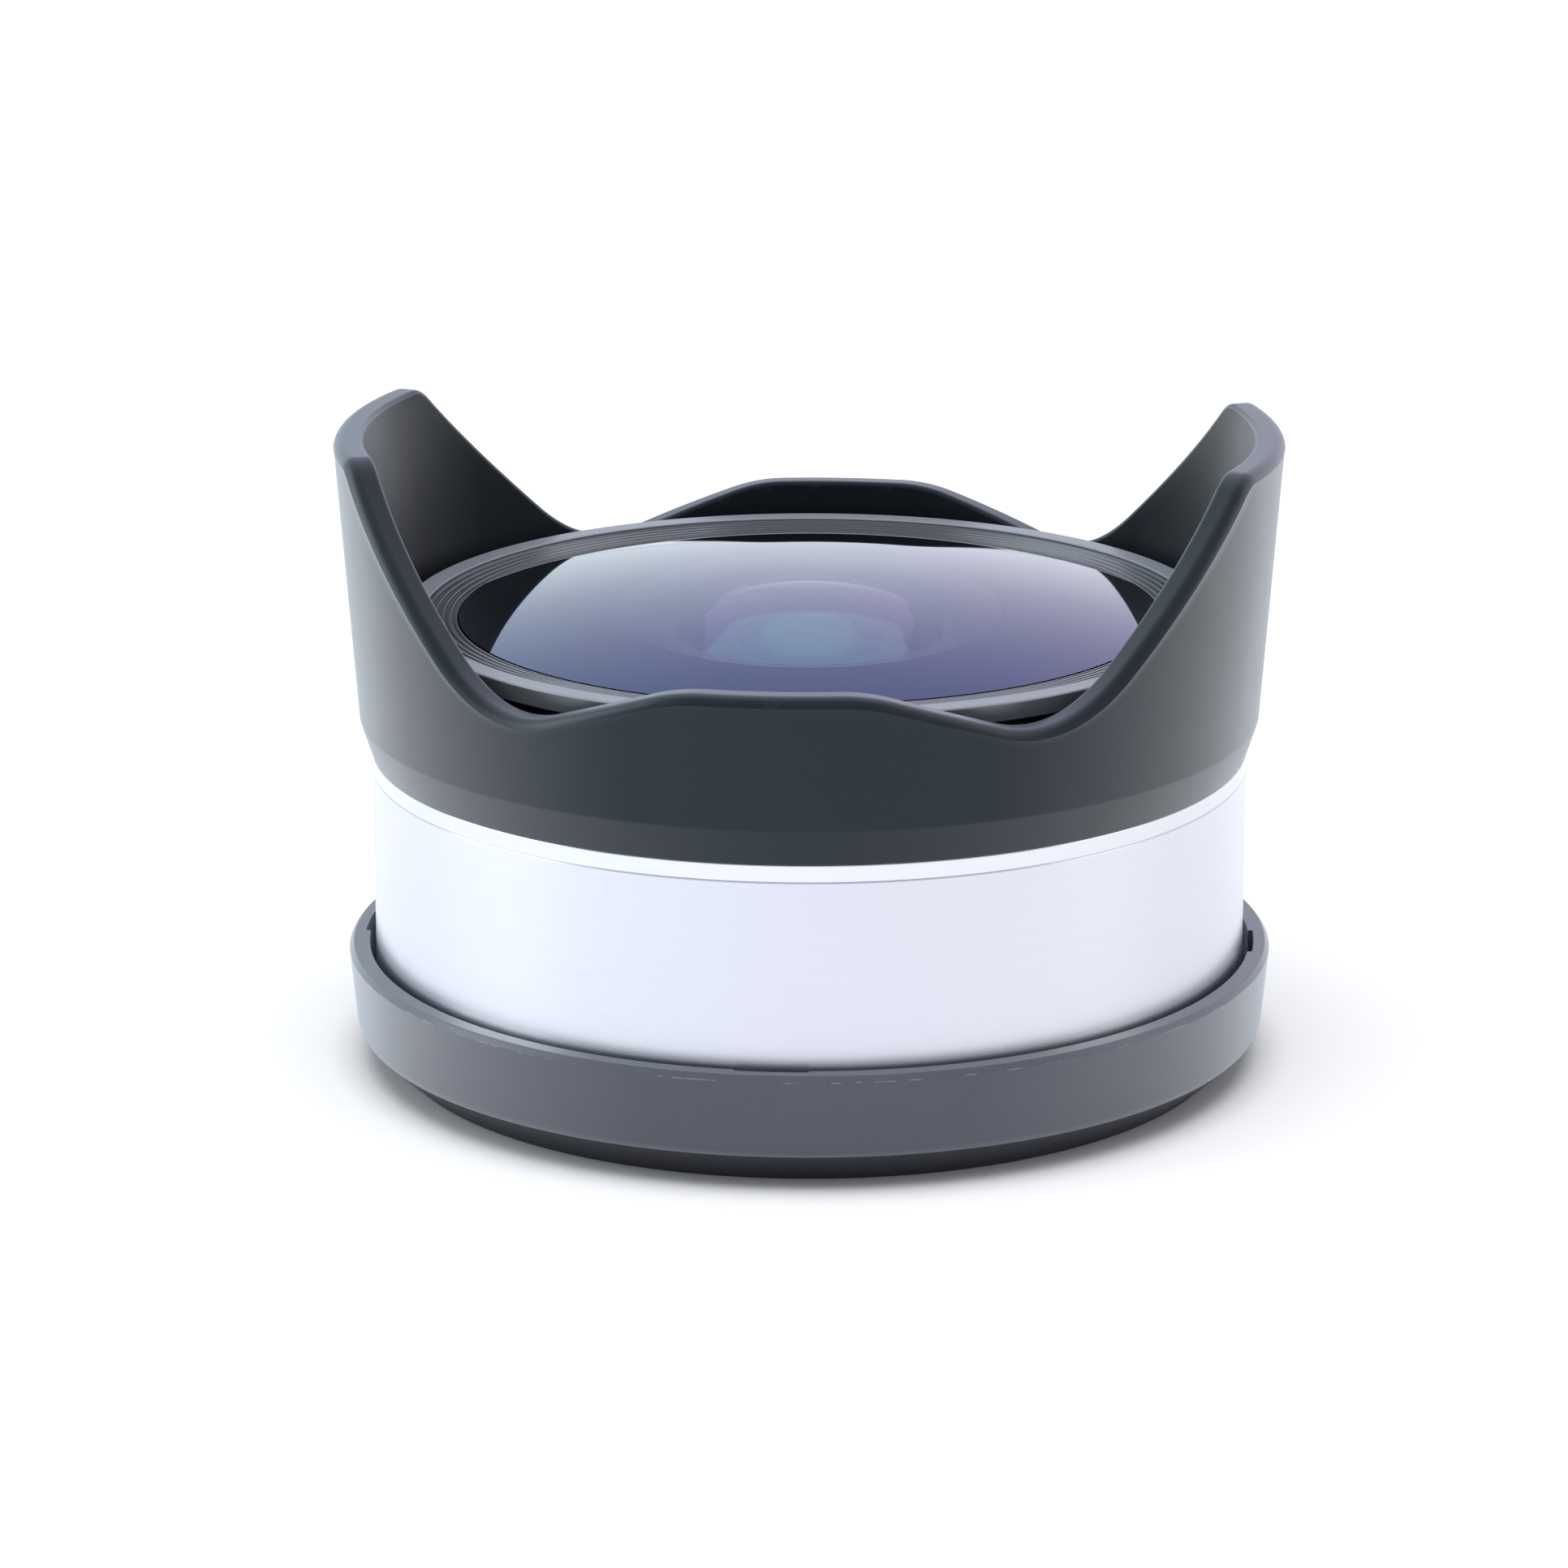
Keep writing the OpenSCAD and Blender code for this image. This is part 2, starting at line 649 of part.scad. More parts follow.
// Dome on a wider rim, which the retaining ring holds down
module front_element() {
    color(glass_tint) {
        meniscus(glass_face_r, seat_z, glass_edge + glass_step, glass_curve, bowl_curve, bowl_r);
        tube(glass_r, well_r, seat_z, glass_rim_z);
    }
}

// Rear cell and glass

module rear_cell() {
    color(cell_black)
        difference() {
            rotate_extrude()
                polygon([
                    [doublet_r + thread_gap, cell_foot_z], [cell_r, cell_foot_z],
                    [cell_r, cell_face_z - cell_flange_t], [cell_flange_r, cell_face_z - cell_flange_t],
                    [cell_flange_r, cell_face_z], [cell_r, cell_face_z], [cell_r, second_z],
                    [neck_r, second_z + cell_r - neck_r], [neck_r, neck_top_z],
                    [second_r + seat_gap, neck_top_z], [second_r + seat_gap, second_z], [tube_r, second_z],
                    [tube_r, stop_seat_z], [stop_bore_r, stop_seat_z], [stop_bore_r, shoulder_z],
                    [doublet_r + thread_gap, shoulder_z]
                ]);
            ring_of(screw_count, rear_screw_r, rear_screw_az)
                screw_hole(cell_face_z - cell_flange_t - cut, cell_face_z + cut);
            ring_of(screw_count, cover_screw_r, cover_screw_az)
                screw_hole(cell_foot_z - cut, cell_foot_z + cover_bite + tip_room);
        }
}

module cell_shim() {
    color(steel)
        difference() {
            tube(cell_flange_r, cell_pass_r, cell_face_z, shelf_z);
            ring_of(screw_count, rear_screw_r, rear_screw_az)
                screw_hole(cell_face_z - cut, shelf_z + cut);
        }
}

module second_element() {
    color(clear_tint)
        meniscus(second_r, second_z, second_edge, second_curve, second_back, second_hollow_r);
}

module second_retaining_ring() {
    color(cell_black)
        tube(second_r + seat_gap - thread_gap, second_ring_in, second_ring_z, neck_top_z);
}

module spacer_ring() {
    color(cell_black)
        tube(tube_r - thread_gap, spacer_in_r, stop_seat_z + stop_t, second_z);
}

module light_stop() {
    color("#0c0c0d")
        tube(tube_r - thread_gap, stop_r, stop_seat_z, stop_seat_z + stop_t);
}

module third_element() {
    front_z = doublet_z + third_rise;
    color(clear_tint)
        intersection() {
            translate([0, 0, cement_z])
                cylinder(r = doublet_r, h = front_z - cement_z);
            translate([0, 0, front_z - third_curve])
                sphere(r = third_curve);
            translate([0, 0, cement_z + cement_curve])
                sphere(r = cement_curve);
        }
}

module fourth_element() {
    color(clear_tint)
        difference() {
            intersection() {
                translate([0, 0, fourth_low_z])
                    cylinder(r = doublet_r, h = third_z - fourth_low_z);
                translate([0, 0, fourth_low_z + fourth_curve])
                    sphere(r = fourth_curve);
            }
            translate([0, 0, cement_z + cement_curve])
                sphere(r = cement_curve);
        }
}

module rear_retaining_ring() {
    notch_w = 1.4;
    notch_h = 0.6;
    color(cell_black)
        difference() {
            tube(doublet_r, rear_ring_in, rear_ring_z - rear_ring_t, rear_ring_z);
            for (a = [0, 180])
                rotate([0, 0, a])
                    translate([rear_ring_in - cut, -notch_w / 2, rear_ring_z - rear_ring_t - cut])
                        cube([rear_ring_w + 2 * cut, notch_w, notch_h + cut]);
        }
}

// Plate that closes the rear between the rear cell and the bayonet
module rear_cover() {
    color(cell_black)
        difference() {
            tube(recess_r - slide_gap, doublet_r + thread_gap, flange_z - cover_t, flange_z);
            ring_of(screw_count, cover_screw_r, cover_screw_az)
                screw_hole(flange_z - cover_t - cut, flange_z + cut);
        }
}

// Bayonet

module at_lugs() {
    for (i = [0 : lug_count - 1])
        rotate([0, 0, lug_az + i * 360 / lug_count])
            children();
}

module bayonet_ring() {
    color(steel)
        difference() {
            union() {
                tube(ring_out_r, register_r, rear_z, relief_z);
                tube(ring_out_r, recess_r, relief_z, flange_z);
                at_lugs()
                    arc_block(lug_r, recess_r + recess_w, lug_z, recess_z, -lug_span / 2, lug_span / 2);
            }
            ring_of(screw_count, ring_mid_r, bayonet_screw_az) {
                screw_hole(rear_z - cut, flange_z + cut);
                translate([0, 0, rear_z - cut])
                    cylinder(r = screw_head_r + thread_gap, h = screw_head_h + cut + thread_gap);
            }
            at_lock(lock_r)
                translate([0, 0, rear_z - cut])
                    cylinder(r = pin_r + pin_gap, h = flange_z - rear_z + 2 * cut);
            rotate([0, 0, index_az])
                translate([ring_mid_r, 0, rear_z - cut])
                    cylinder(r = index_r, h = index_t + cut);
        }
}

module bayonet_springs() {
    color(steel)
        at_lugs()
            arc_block(lug_r + spring_leaf_inset, register_r - seat_gap, recess_z, recess_z + spring_leaf_t,
                -spring_leaf_span / 2, spring_leaf_span / 2);
}

module index_dot() {
    color("#f2f2f2")
        rotate([0, 0, index_az])
            translate([ring_mid_r, 0, rear_z])
                cylinder(r = index_r, h = index_t);
}

// Lock and release

module at_lock(r) {
    rotate([0, 0, lock_az])
        translate([r, 0, 0])
            children();
}

module at_bracket_screws() {
    for (s = [-1, 1])
        at_lock(bracket_screw_r)
            translate([0, s * bracket_screw_off, 0])
                children();
}

module lock_pin() {
    color(steel)
        at_lock(lock_r)
            difference() {
                union() {
                    translate([0, 0, rear_z - pin_reach])
                        cylinder(r = pin_r, h = pin_top_z - rear_z + pin_reach);
                    translate([0, 0, collar_pin_z])
                        cylinder(r = collar_pin_r, h = collar_pin_t);
                }
                translate([0, 0, stud_z])
                    rotate([0, 90, 0])
                        cylinder(r = stud_r, h = collar_pin_r + cut);
            }
}

// Stud in the pin's collar that runs in the slider's ramp slot
module pin_stud() {
    color(steel)
        at_lock(lock_r)
            translate([0, 0, stud_z])
                rotate([0, 90, 0])
                    cylinder(r = stud_r, h = plate_out_r - lock_r);
}

module lock_spring() {
    count = spring_rings + 1;
    tips = [[for (s = [5 : -1 : 0]) s], [for (s = [0 : 5]) (count - 1) * 6 + s]];
    caps = [for (t = tips, s = [1 : 4]) [t[0], t[s], t[s + 1]]];
    color(steel)
        at_lock(lock_r)
            translate([0, 0, spring_z])
                polyhedron(flat([for (i = [0 : spring_rings]) spring_ring(i)]),
                    concat(ring_faces(count, 6, false), caps));
}

// Foot, post and bridge that guide the pin and hold the spring
module lock_bracket() {
    color(steel)
        at_lock(0)
            difference() {
                intersection() {
                    union() {
                        translate([bracket_in_r, -bracket_foot_w / 2, deck_z])
                            cube([bracket_out_r - bracket_in_r, bracket_foot_w, bracket_t]);
                        translate([bracket_in_r, -bracket_w / 2, deck_z])
                            cube([bracket_post_t, bracket_w, bridge_z + bracket_t - deck_z]);
                        translate([bracket_in_r, -bracket_w / 2, bridge_z])
                            cube([bracket_out_r - bracket_in_r, bracket_w, bracket_t]);
                    }
                    cylinder(r = bracket_out_r, h = top_z);
                }
                translate([lock_r, 0, deck_z - cut])
                    cylinder(r = pin_r + pin_gap, h = bridge_z + bracket_t - deck_z + 2 * cut);
                for (s = [-1, 1])
                    translate([bracket_screw_r, s * bracket_screw_off, 0])
                        screw_hole(deck_z - cut, deck_z + bracket_t + cut);
            }
}

// Curved plate with the ramp slot that lifts the stud as the slider turns
module slider_plate() {
    run = 2 * plate_out_r * sin(slider_turn / 2);
    ramp = atan2(pin_lift, run);
    slot_r = stud_r + stud_gap;
    color(steel)
        difference() {
            arc_block(plate_in_r, plate_out_r, plate_z, plate_z + plate_h, plate_from, plate_to);
            rotate([0, 0, lock_az - slider_turn / 2])
                translate([plate_in_r - cut, 0, stud_z + pin_lift / 2])
                    rotate([-ramp, 0, 0])
                        rotate([0, 90, 0])
                            slot(norm([run, pin_lift]), slot_r, plate_t + 2 * cut);
            at_knob()
                translate([plate_in_r - cut, 0, 0])
                    rotate([0, 90, 0])
                        cylinder(r = knob_screw_r + thread_gap, h = plate_t + 2 * cut);
        }
}

// Straight slot with round ends along Y, rising along Z
module slot(length, r, h) {
    for (s = [-1, 1])
        translate([0, s * length / 2, 0])
            cylinder(r = r, h = h);
    translate([-r, -length / 2, 0])
        cube([2 * r, length, h]);
}

module at_knob() {
    rotate([0, 0, knob_az])
        translate([0, 0, knob_z])
            children();
}

module release_knob() {
    color(satin)
        difference() {
            union() {
                arc_block(plate_out_r, knob_mid_r + knob_sink,
                    knob_z - knob_neck_h / 2, knob_z + knob_neck_h / 2,
                    knob_az - knob_neck_span / 2, knob_az + knob_neck_span / 2);
                arc_block(knob_mid_r, knob_out_r, knob_z - knob_h / 2, knob_z + knob_h / 2,
                    knob_az - knob_span / 2, knob_az + knob_span / 2);
                for (i = [0 : knob_ribs - 1])
                    rotate([0, 0, knob_az + knob_span * ((i + 0.5) / knob_ribs - 0.5)])
                        translate([knob_out_r, 0, knob_z - knob_h / 2])
                            cylinder(r = knob_rib_r, h = knob_h);
            }
            at_knob()
                translate([plate_out_r - cut, 0, 0])
                    rotate([0, 90, 0])
                        cylinder(r = knob_screw_r + thread_gap,
                            h = cut + knob_screw_len - plate_t + tip_room);
        }
}

module knob_screw() {
    color(steel)
        at_knob()
            translate([plate_in_r, 0, 0])
                rotate([0, 90, 0])
                    screw(knob_screw_len, knob_screw_r, knob_screw_head_r, knob_screw_head_t);
}

// Screws

module bracket_screws() {
    color(steel)
        at_bracket_screws()
            translate([0, 0, deck_z + bracket_t])
                mirror([0, 0, 1])
                    screw(bracket_t + bracket_bite);
}

module hood_screws() {
    color(steel)
        ring_of(screw_count, hood_mid_r, hood_screw_az)
            translate([0, 0, shelf_z - flange_t])
                screw(flange_t + hood_bite);
}

module front_cell_screws() {
    color(steel)
        ring_of(screw_count, cell_screw_r, cell_screw_az)
            translate([0, 0, shelf_z - flange_t])
                screw(flange_t + cell_bite);
}

module rear_cell_screws() {
    color(steel)
        ring_of(screw_count, rear_screw_r, rear_screw_az)
            translate([0, 0, cell_face_z - cell_flange_t])
                screw(cell_flange_t + shim_t + rear_bite);
}

module cover_screws() {
    color(steel)
        ring_of(screw_count, cover_screw_r, cover_screw_az)
            translate([0, 0, flange_z - cover_t])
                screw(cover_t + cover_bite);
}

module bayonet_screws() {
    color(steel)
        ring_of(screw_count, ring_mid_r, bayonet_screw_az)
            translate([0, 0, rear_z + screw_head_h])
                screw(flange_z - rear_z - screw_head_h + bayonet_bite);
}

rear_cap();
outer_barrel();
trim_ring();
petal_hood();
front_cell();
front_retaining_ring();
front_seal();
front_element();
rear_cell();
cell_shim();
second_element();
second_retaining_ring();
spacer_ring();
light_stop();
third_element();
fourth_element();
rear_retaining_ring();
rear_cover();
bayonet_ring();
bayonet_springs();
index_dot();
lock_pin();
pin_stud();
lock_spring();
lock_bracket();
slider_plate();
release_knob();
knob_screw();
bracket_screws();
hood_screws();
front_cell_screws();
rear_cell_screws();
cover_screws();
bayonet_screws();
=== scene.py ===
import json
import math

import bpy
import numpy as np
from mathutils import Matrix, Vector


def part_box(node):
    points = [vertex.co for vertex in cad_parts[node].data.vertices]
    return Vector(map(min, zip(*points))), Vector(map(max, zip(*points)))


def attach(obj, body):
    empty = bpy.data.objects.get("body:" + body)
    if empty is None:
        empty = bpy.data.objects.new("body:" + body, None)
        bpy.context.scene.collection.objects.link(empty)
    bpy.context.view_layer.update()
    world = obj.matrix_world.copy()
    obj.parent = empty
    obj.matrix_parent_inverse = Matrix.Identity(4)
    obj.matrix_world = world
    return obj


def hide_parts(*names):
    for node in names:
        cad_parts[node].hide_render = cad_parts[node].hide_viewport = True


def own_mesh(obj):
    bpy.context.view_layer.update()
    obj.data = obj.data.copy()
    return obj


# Fisheye converter lens on its rear cap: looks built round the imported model.
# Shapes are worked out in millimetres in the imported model's frame and put into meshes in metres.
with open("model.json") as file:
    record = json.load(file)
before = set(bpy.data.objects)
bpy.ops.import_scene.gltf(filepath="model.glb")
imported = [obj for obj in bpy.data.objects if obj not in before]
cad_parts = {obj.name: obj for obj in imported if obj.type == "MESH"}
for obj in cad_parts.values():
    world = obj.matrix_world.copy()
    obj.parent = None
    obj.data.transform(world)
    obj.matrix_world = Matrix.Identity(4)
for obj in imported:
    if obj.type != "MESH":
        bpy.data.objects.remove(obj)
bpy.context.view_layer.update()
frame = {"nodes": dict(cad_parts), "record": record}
scene = bpy.context.scene
scene.view_settings.view_transform = "Standard"
mm = 0.001


def span(node):
    low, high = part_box(node)
    return np.array(low) / mm, np.array(high) / mm


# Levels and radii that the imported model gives
barrelLow, barrelHigh = span("outer_barrel")
hoodLow, hoodHigh = span("petal_hood")
barrelR = barrelHigh[0]
rearZ, topZ = barrelLow[2], barrelHigh[2]
shelfZ, tallZ = hoodLow[2], hoodHigh[2]
hoodZ = span("trim_ring")[1][2]
print("frame loaded:", len(frame["nodes"]), "nodes, barrel radius", round(barrelR, 3), "mm")


# Camera

view = dict(lens=138.206, sensor=36, back=412.418, height=137.194, yaw=-0.0043527, pitch=0.2785208,
            roll=-0.0013916, turn=4.62)


def placeCamera():
    yaw, pitch, roll = view["yaw"], view["pitch"], view["roll"]
    ahead = Vector((math.sin(yaw) * math.cos(pitch), math.cos(yaw) * math.cos(pitch), -math.sin(pitch)))
    right = Vector((math.cos(yaw), -math.sin(yaw), 0))
    up = right.cross(ahead)
    right, up = (right * math.cos(roll) + up * math.sin(roll), up * math.cos(roll) - right * math.sin(roll))
    place = Matrix((right, up, -ahead)).transposed().to_4x4()
    place.translation = Vector((0, -view["back"], view["height"])) * mm
    lens = bpy.data.cameras.new("camera")
    lens.lens, lens.sensor_width = view["lens"], view["sensor"]
    camera = bpy.data.objects.new("camera", lens)
    scene.collection.objects.link(camera)
    camera.matrix_world = Matrix.Rotation(math.radians(view["turn"]), 4, "Z") @ place
    scene.camera = camera


placeCamera()


# Node helpers

def feed(tree, socket, value):
    # another node's socket is linked, anything else is set as the value
    if isinstance(value, bpy.types.NodeSocket):
        tree.links.new(value, socket)
    else:
        socket.default_value = value


def addNode(tree, kind, inputs=None, **settings):
    node = tree.nodes.new(kind)
    for name, value in settings.items():
        setattr(node, name, value)
    for name, value in (inputs or {}).items():
        feed(tree, node.inputs[name], value)
    return node


def mathNode(tree, operation, *values):
    return addNode(tree, "ShaderNodeMath", dict(enumerate(values)), operation=operation).outputs[0]


def vectorNode(tree, operation, *values):
    node = addNode(tree, "ShaderNodeVectorMath", dict(enumerate(values)), operation=operation)
    return node.outputs["Value" if operation == "LENGTH" else "Vector"]


def mixColour(tree, factor, first, second):
    # in colour mode the node takes its factor at 0 and its colours at 6 and 7, and gives the result at 2
    return addNode(tree, "ShaderNodeMix", {0: factor, 6: first, 7: second}, data_type="RGBA").outputs[2]


def remap(tree, value, low, high, toLow, toHigh):
    inputs = {"Value": value, "From Min": low, "From Max": high, "To Min": toLow, "To Max": toHigh}
    return addNode(tree, "ShaderNodeMapRange", inputs).outputs[0]


def rgba(colour):
    return (*colour, 1)


# Stage: pale floor, plain world and three soft lamps

# near the object the floor's glow falls to none: painted shadow round its foot
stage = dict(floorSize=4.0, floorColour=(0.88, 0.88, 0.895), paintedShadowGlow=0.0, nearGlow=0.27, farGlow=0.3,
             horizonGlow=0.4, glowLeft=(0.75, 0.93, 1.0), glowRight=(0.6, 0.63, 0.66),
             ambient=(0.93, 0.95, 1.0), ambientLevel=0.55,
             leftTint=(0.78, 0.9, 1.0), rightTint=(0.78, 0.81, 0.88), frontDim=0.6,
             backLeft=(0.79, 0.92, 1.0), backRight=(0.88, 0.85, 1.0), backTop=(0.7, 0.68, 0.84),
             # each span is where a change runs from none to full: directions in the room, metres on the floor
             sideSpan=(-0.8, 0.8), backSideSpan=(-0.24, 0.09), backTopSpan=(0.15, 0.6), backSpan=(0.4, 0.75),
             frontSpan=(-0.9, 0.1), paintedShadowSpan=(0.031, 0.0345), farSpan=(0.06, 0.16), horizonSpan=(0.3, 1.2),
             glowSideSpan=(-0.08, 0.08))
white = (1, 1, 1, 1)

lamps = {
    "topLamp": dict(place=(0.0, -0.1, 0.95), aim=(0, 0, 0.02), size=(0.9, 0.9), level=2.0, colour=(1, 1, 1),
                    mirrored=False),
    "leftLamp": dict(place=(-0.75, -0.1, 0.35), aim=(0, 0, 0.03), size=(0.5, 0.6), level=1.8,
                     colour=(0.88, 0.96, 1.0), mirrored=True),
    "rightLamp": dict(place=(0.8, -0.05, 0.35), aim=(0, 0, 0.03), size=(0.4, 0.6), level=0.75,
                      colour=(1.0, 0.97, 1.0), mirrored=True),
}


def seenRays(tree):
    # first 1 for rays that look at the stage, from the camera, off gloss or through glass,
    # and then 1 for the camera's rays alone
    path = addNode(tree, "ShaderNodeLightPath")
    seen = mathNode(tree, "MAXIMUM", path.outputs["Is Camera Ray"], path.outputs["Is Glossy Ray"])
    return mathNode(tree, "MAXIMUM", seen, path.outputs["Is Transmission Ray"]), path.outputs["Is Camera Ray"]


def buildWorld():
    world = bpy.data.worlds.new("paleRoom")
    scene.world = world
    world.use_nodes = True
    tree = world.node_tree
    tree.nodes.clear()
    seen, fromCamera = seenRays(tree)
    direction = addNode(tree, "ShaderNodeTexCoord").outputs["Generated"]
    parts = addNode(tree, "ShaderNodeSeparateXYZ", {0: direction})
    side = remap(tree, parts.outputs["X"], *stage["sideSpan"], 0, 1)
    tint = mixColour(tree, side, rgba(stage["leftTint"]), rgba(stage["rightTint"]))
    # the far side of the room is bluer on the left, more violet on the right and darker higher up
    backSide = remap(tree, parts.outputs["X"], *stage["backSideSpan"], 0, 1)
    back = mixColour(tree, backSide, rgba(stage["backLeft"]), rgba(stage["backRight"]))
    higher = remap(tree, parts.outputs["Z"], *stage["backTopSpan"], 0, 1)
    back = vectorNode(tree, "MULTIPLY", back, mixColour(tree, higher, white, rgba(stage["backTop"])))
    tint = mixColour(tree, remap(tree, parts.outputs["Y"], *stage["backSpan"], 0, 1), tint, back)
    dimmed = vectorNode(tree, "SCALE", tint)
    feed(tree, dimmed.node.inputs["Scale"],
         remap(tree, parts.outputs["Y"], *stage["frontSpan"], stage["frontDim"], 1))
    colour = mixColour(tree, fromCamera, dimmed, white)
    ambient = addNode(tree, "ShaderNodeBackground",
                      {"Color": rgba(stage["ambient"]), "Strength": stage["ambientLevel"]})
    shown = addNode(tree, "ShaderNodeBackground", {"Color": colour, "Strength": 1.0})
    mix = addNode(tree, "ShaderNodeMixShader", {0: seen, 1: ambient.outputs[0], 2: shown.outputs[0]})
    addNode(tree, "ShaderNodeOutputWorld", {"Surface": mix.outputs[0]})


def buildFloor():
    half = stage["floorSize"] / 2
    mesh = bpy.data.meshes.new("floor")
    corners = [(-half, -half, 0), (half, -half, 0), (half, half, 0), (-half, half, 0)]
    mesh.from_pydata(corners, [], [(0, 1, 2, 3)])
    floor = bpy.data.objects.new("floor", mesh)
    scene.collection.objects.link(floor)
    material = bpy.data.materials.new("paleFloor")
    material.use_nodes = True
    tree = material.node_tree
    tree.nodes.clear()
    seen, fromCamera = seenRays(tree)
    paint = addNode(tree, "ShaderNodeBsdfDiffuse", {"Color": rgba(stage["floorColour"])})
    # the floor is whiter away from the object; its glow fades to none at the object's foot, a painted shadow
    # round the foot that is darker than the lamps' own shadow there
    place = addNode(tree, "ShaderNodeTexCoord").outputs["Object"]
    away = vectorNode(tree, "LENGTH", place)
    far = remap(tree, away, *stage["farSpan"], 0, stage["farGlow"] - stage["nearGlow"])
    # painted shadow: the glow drops to none across this span at the foot
    near = remap(tree, away, *stage["paintedShadowSpan"], stage["paintedShadowGlow"], stage["nearGlow"])
    whiter = mathNode(tree, "ADD", far, near)
    horizon = remap(tree, away, *stage["horizonSpan"], 0, stage["horizonGlow"])
    horizon = mathNode(tree, "MULTIPLY", fromCamera, horizon)
    # gloss sees a bluer glow on the left and a dimmer one on the right
    across = addNode(tree, "ShaderNodeSeparateXYZ", {0: place}).outputs["X"]
    side = remap(tree, across, *stage["glowSideSpan"], 0, 1)
    tint = mixColour(tree, side, rgba(stage["glowLeft"]), rgba(stage["glowRight"]))
    tint = mixColour(tree, fromCamera, tint, white)
    strength = mathNode(tree, "MULTIPLY", seen, mathNode(tree, "ADD", whiter, horizon))
    glow = addNode(tree, "ShaderNodeEmission", {"Color": tint, "Strength": strength})
    both = addNode(tree, "ShaderNodeAddShader", {0: paint.outputs[0], 1: glow.outputs[0]})
    addNode(tree, "ShaderNodeOutputMaterial", {"Surface": both.outputs[0]})
    mesh.materials.append(material)


def buildLamps():
    for name, lamp in lamps.items():
        light = bpy.data.lights.new(name, "AREA")
        light.shape = "RECTANGLE"
        light.size, light.size_y = lamp["size"]
        # an even panel of radiance L and area A has the power L * pi * A
        light.energy = lamp["level"] * math.pi * lamp["size"][0] * lamp["size"][1]
        light.color = lamp["colour"]
        panel = bpy.data.objects.new(name, light)
        scene.collection.objects.link(panel)
        panel.location = lamp["place"]
        panel.rotation_euler = (Vector(lamp["aim"]) - panel.location).to_track_quat("-Z", "Y").to_euler()
        panel.visible_camera = False
        panel.visible_glossy = lamp["mirrored"]
        panel.visible_transmission = False


buildWorld()
buildFloor()
buildLamps()
print("stage ready: floor, world and", len(lamps), "lamps")


# Effects shared by the finishes

def newGroup(name, inputs, outputs):
    group = bpy.data.node_groups.new(name, "ShaderNodeTree")
    for label, kind, value in inputs:
        socket = group.interface.new_socket(label, in_out="INPUT", socket_type=kind)
        if value is not None:
            socket.default_value = value
    for label in outputs:
        group.interface.new_socket(label, in_out="OUTPUT", socket_type="NodeSocketFloat")
    return group, addNode(group, "NodeGroupInput").outputs, addNode(group, "NodeGroupOutput").inputs


def noise(tree, place, scale, detail, roughness):
    inputs = {"Vector": place, "Scale": scale, "Detail": detail, "Roughness": roughness}
    return addNode(tree, "ShaderNodeTexNoise", inputs).outputs[0]


def mouldGrainGroup():
    # fine even tooth of a moulded skin, and the slow mottle of its gloss
    group, given, result = newGroup("mouldGrain", [
        ("Place", "NodeSocketVector", None), ("Tooth", "NodeSocketFloat", 5000.0),
        ("Cloud", "NodeSocketFloat", 90.0)], ["Height", "Mottle"])
    tooth = noise(group, given["Place"], given["Tooth"], 3.0, 0.6)
    cloud = noise(group, given["Place"], given["Cloud"], 4.0, 0.55)
    group.links.new(tooth, result["Height"])
    group.links.new(remap(group, cloud, 0.3, 0.7, 0, 1), result["Mottle"])
    return group


def turnedLinesGroup():
    # lines round the axis left by a turning tool: noise squeezed along Z and drawn out round the axis
    group, given, result = newGroup("turnedLines", [
        ("Place", "NodeSocketVector", None), ("Lines", "NodeSocketFloat", 9000.0),
        ("Drift", "NodeSocketFloat", 0.004)], ["Height", "Streak"])
    stretch = addNode(group, "ShaderNodeCombineXYZ", {0: given["Drift"], 1: given["Drift"], 2: 1.0})
    squeezed = vectorNode(group, "MULTIPLY", given["Place"], stretch.outputs[0])
    fine = noise(group, squeezed, given["Lines"], 2.0, 0.6)
    broadShare = 0.13
    broad = noise(group, squeezed, mathNode(group, "MULTIPLY", given["Lines"], broadShare), 2.0, 0.5)
    group.links.new(fine, result["Height"])
    group.links.new(remap(group, broad, 0.35, 0.65, 0, 1), result["Streak"])
    return group


def rubbedEdgeGroup():
    # broken wear along the edges that the mesh marks with its "wear" attribute
    group, given, result = newGroup("rubbedEdge", [
        ("Place", "NodeSocketVector", None), ("Edge", "NodeSocketFloat", 0.0),
        ("Grit", "NodeSocketFloat", 700.0), ("Bare", "NodeSocketFloat", 0.55)], ["Mask"])
    grit = noise(group, given["Place"], given["Grit"], 4.0, 0.65)
    fade = 0.12
    broken = remap(group, grit, given["Bare"], mathNode(group, "ADD", given["Bare"], fade), 0, 1)
    group.links.new(mathNode(group, "MULTIPLY", broken, given["Edge"]), result["Mask"])
    return group


def dustGroup():
    # sparse specks: one small dot in those cells whose own random number is below the share
    group, given, result = newGroup("dustSpecks", [
        ("Place", "NodeSocketVector", None), ("Cells", "NodeSocketFloat", 300.0),
        ("Speck", "NodeSocketFloat", 0.06), ("Share", "NodeSocketFloat", 0.1)], ["Mask"])
    cells = addNode(group, "ShaderNodeTexVoronoi", {"Vector": given["Place"], "Scale": given["Cells"]})
    near = mathNode(group, "LESS_THAN", cells.outputs["Distance"], given["Speck"])
    lot = addNode(group, "ShaderNodeSeparateXYZ", {0: cells.outputs["Color"]}).outputs["X"]
    chosen = mathNode(group, "LESS_THAN", lot, given["Share"])
    group.links.new(mathNode(group, "MULTIPLY", near, chosen), result["Mask"])
    return group


mouldGrain, turnedLines = mouldGrainGroup(), turnedLinesGroup()
rubbedEdge, dustSpecks = rubbedEdgeGroup(), dustGroup()


# Finishes

finishes = {}
shared = dict(dustColour=(0.3, 0.31, 0.33), wornDuller=0.08, limbTo=0.75, metalCloud=60.0, glassCloud=220.0,
              glassDrift=0.97)


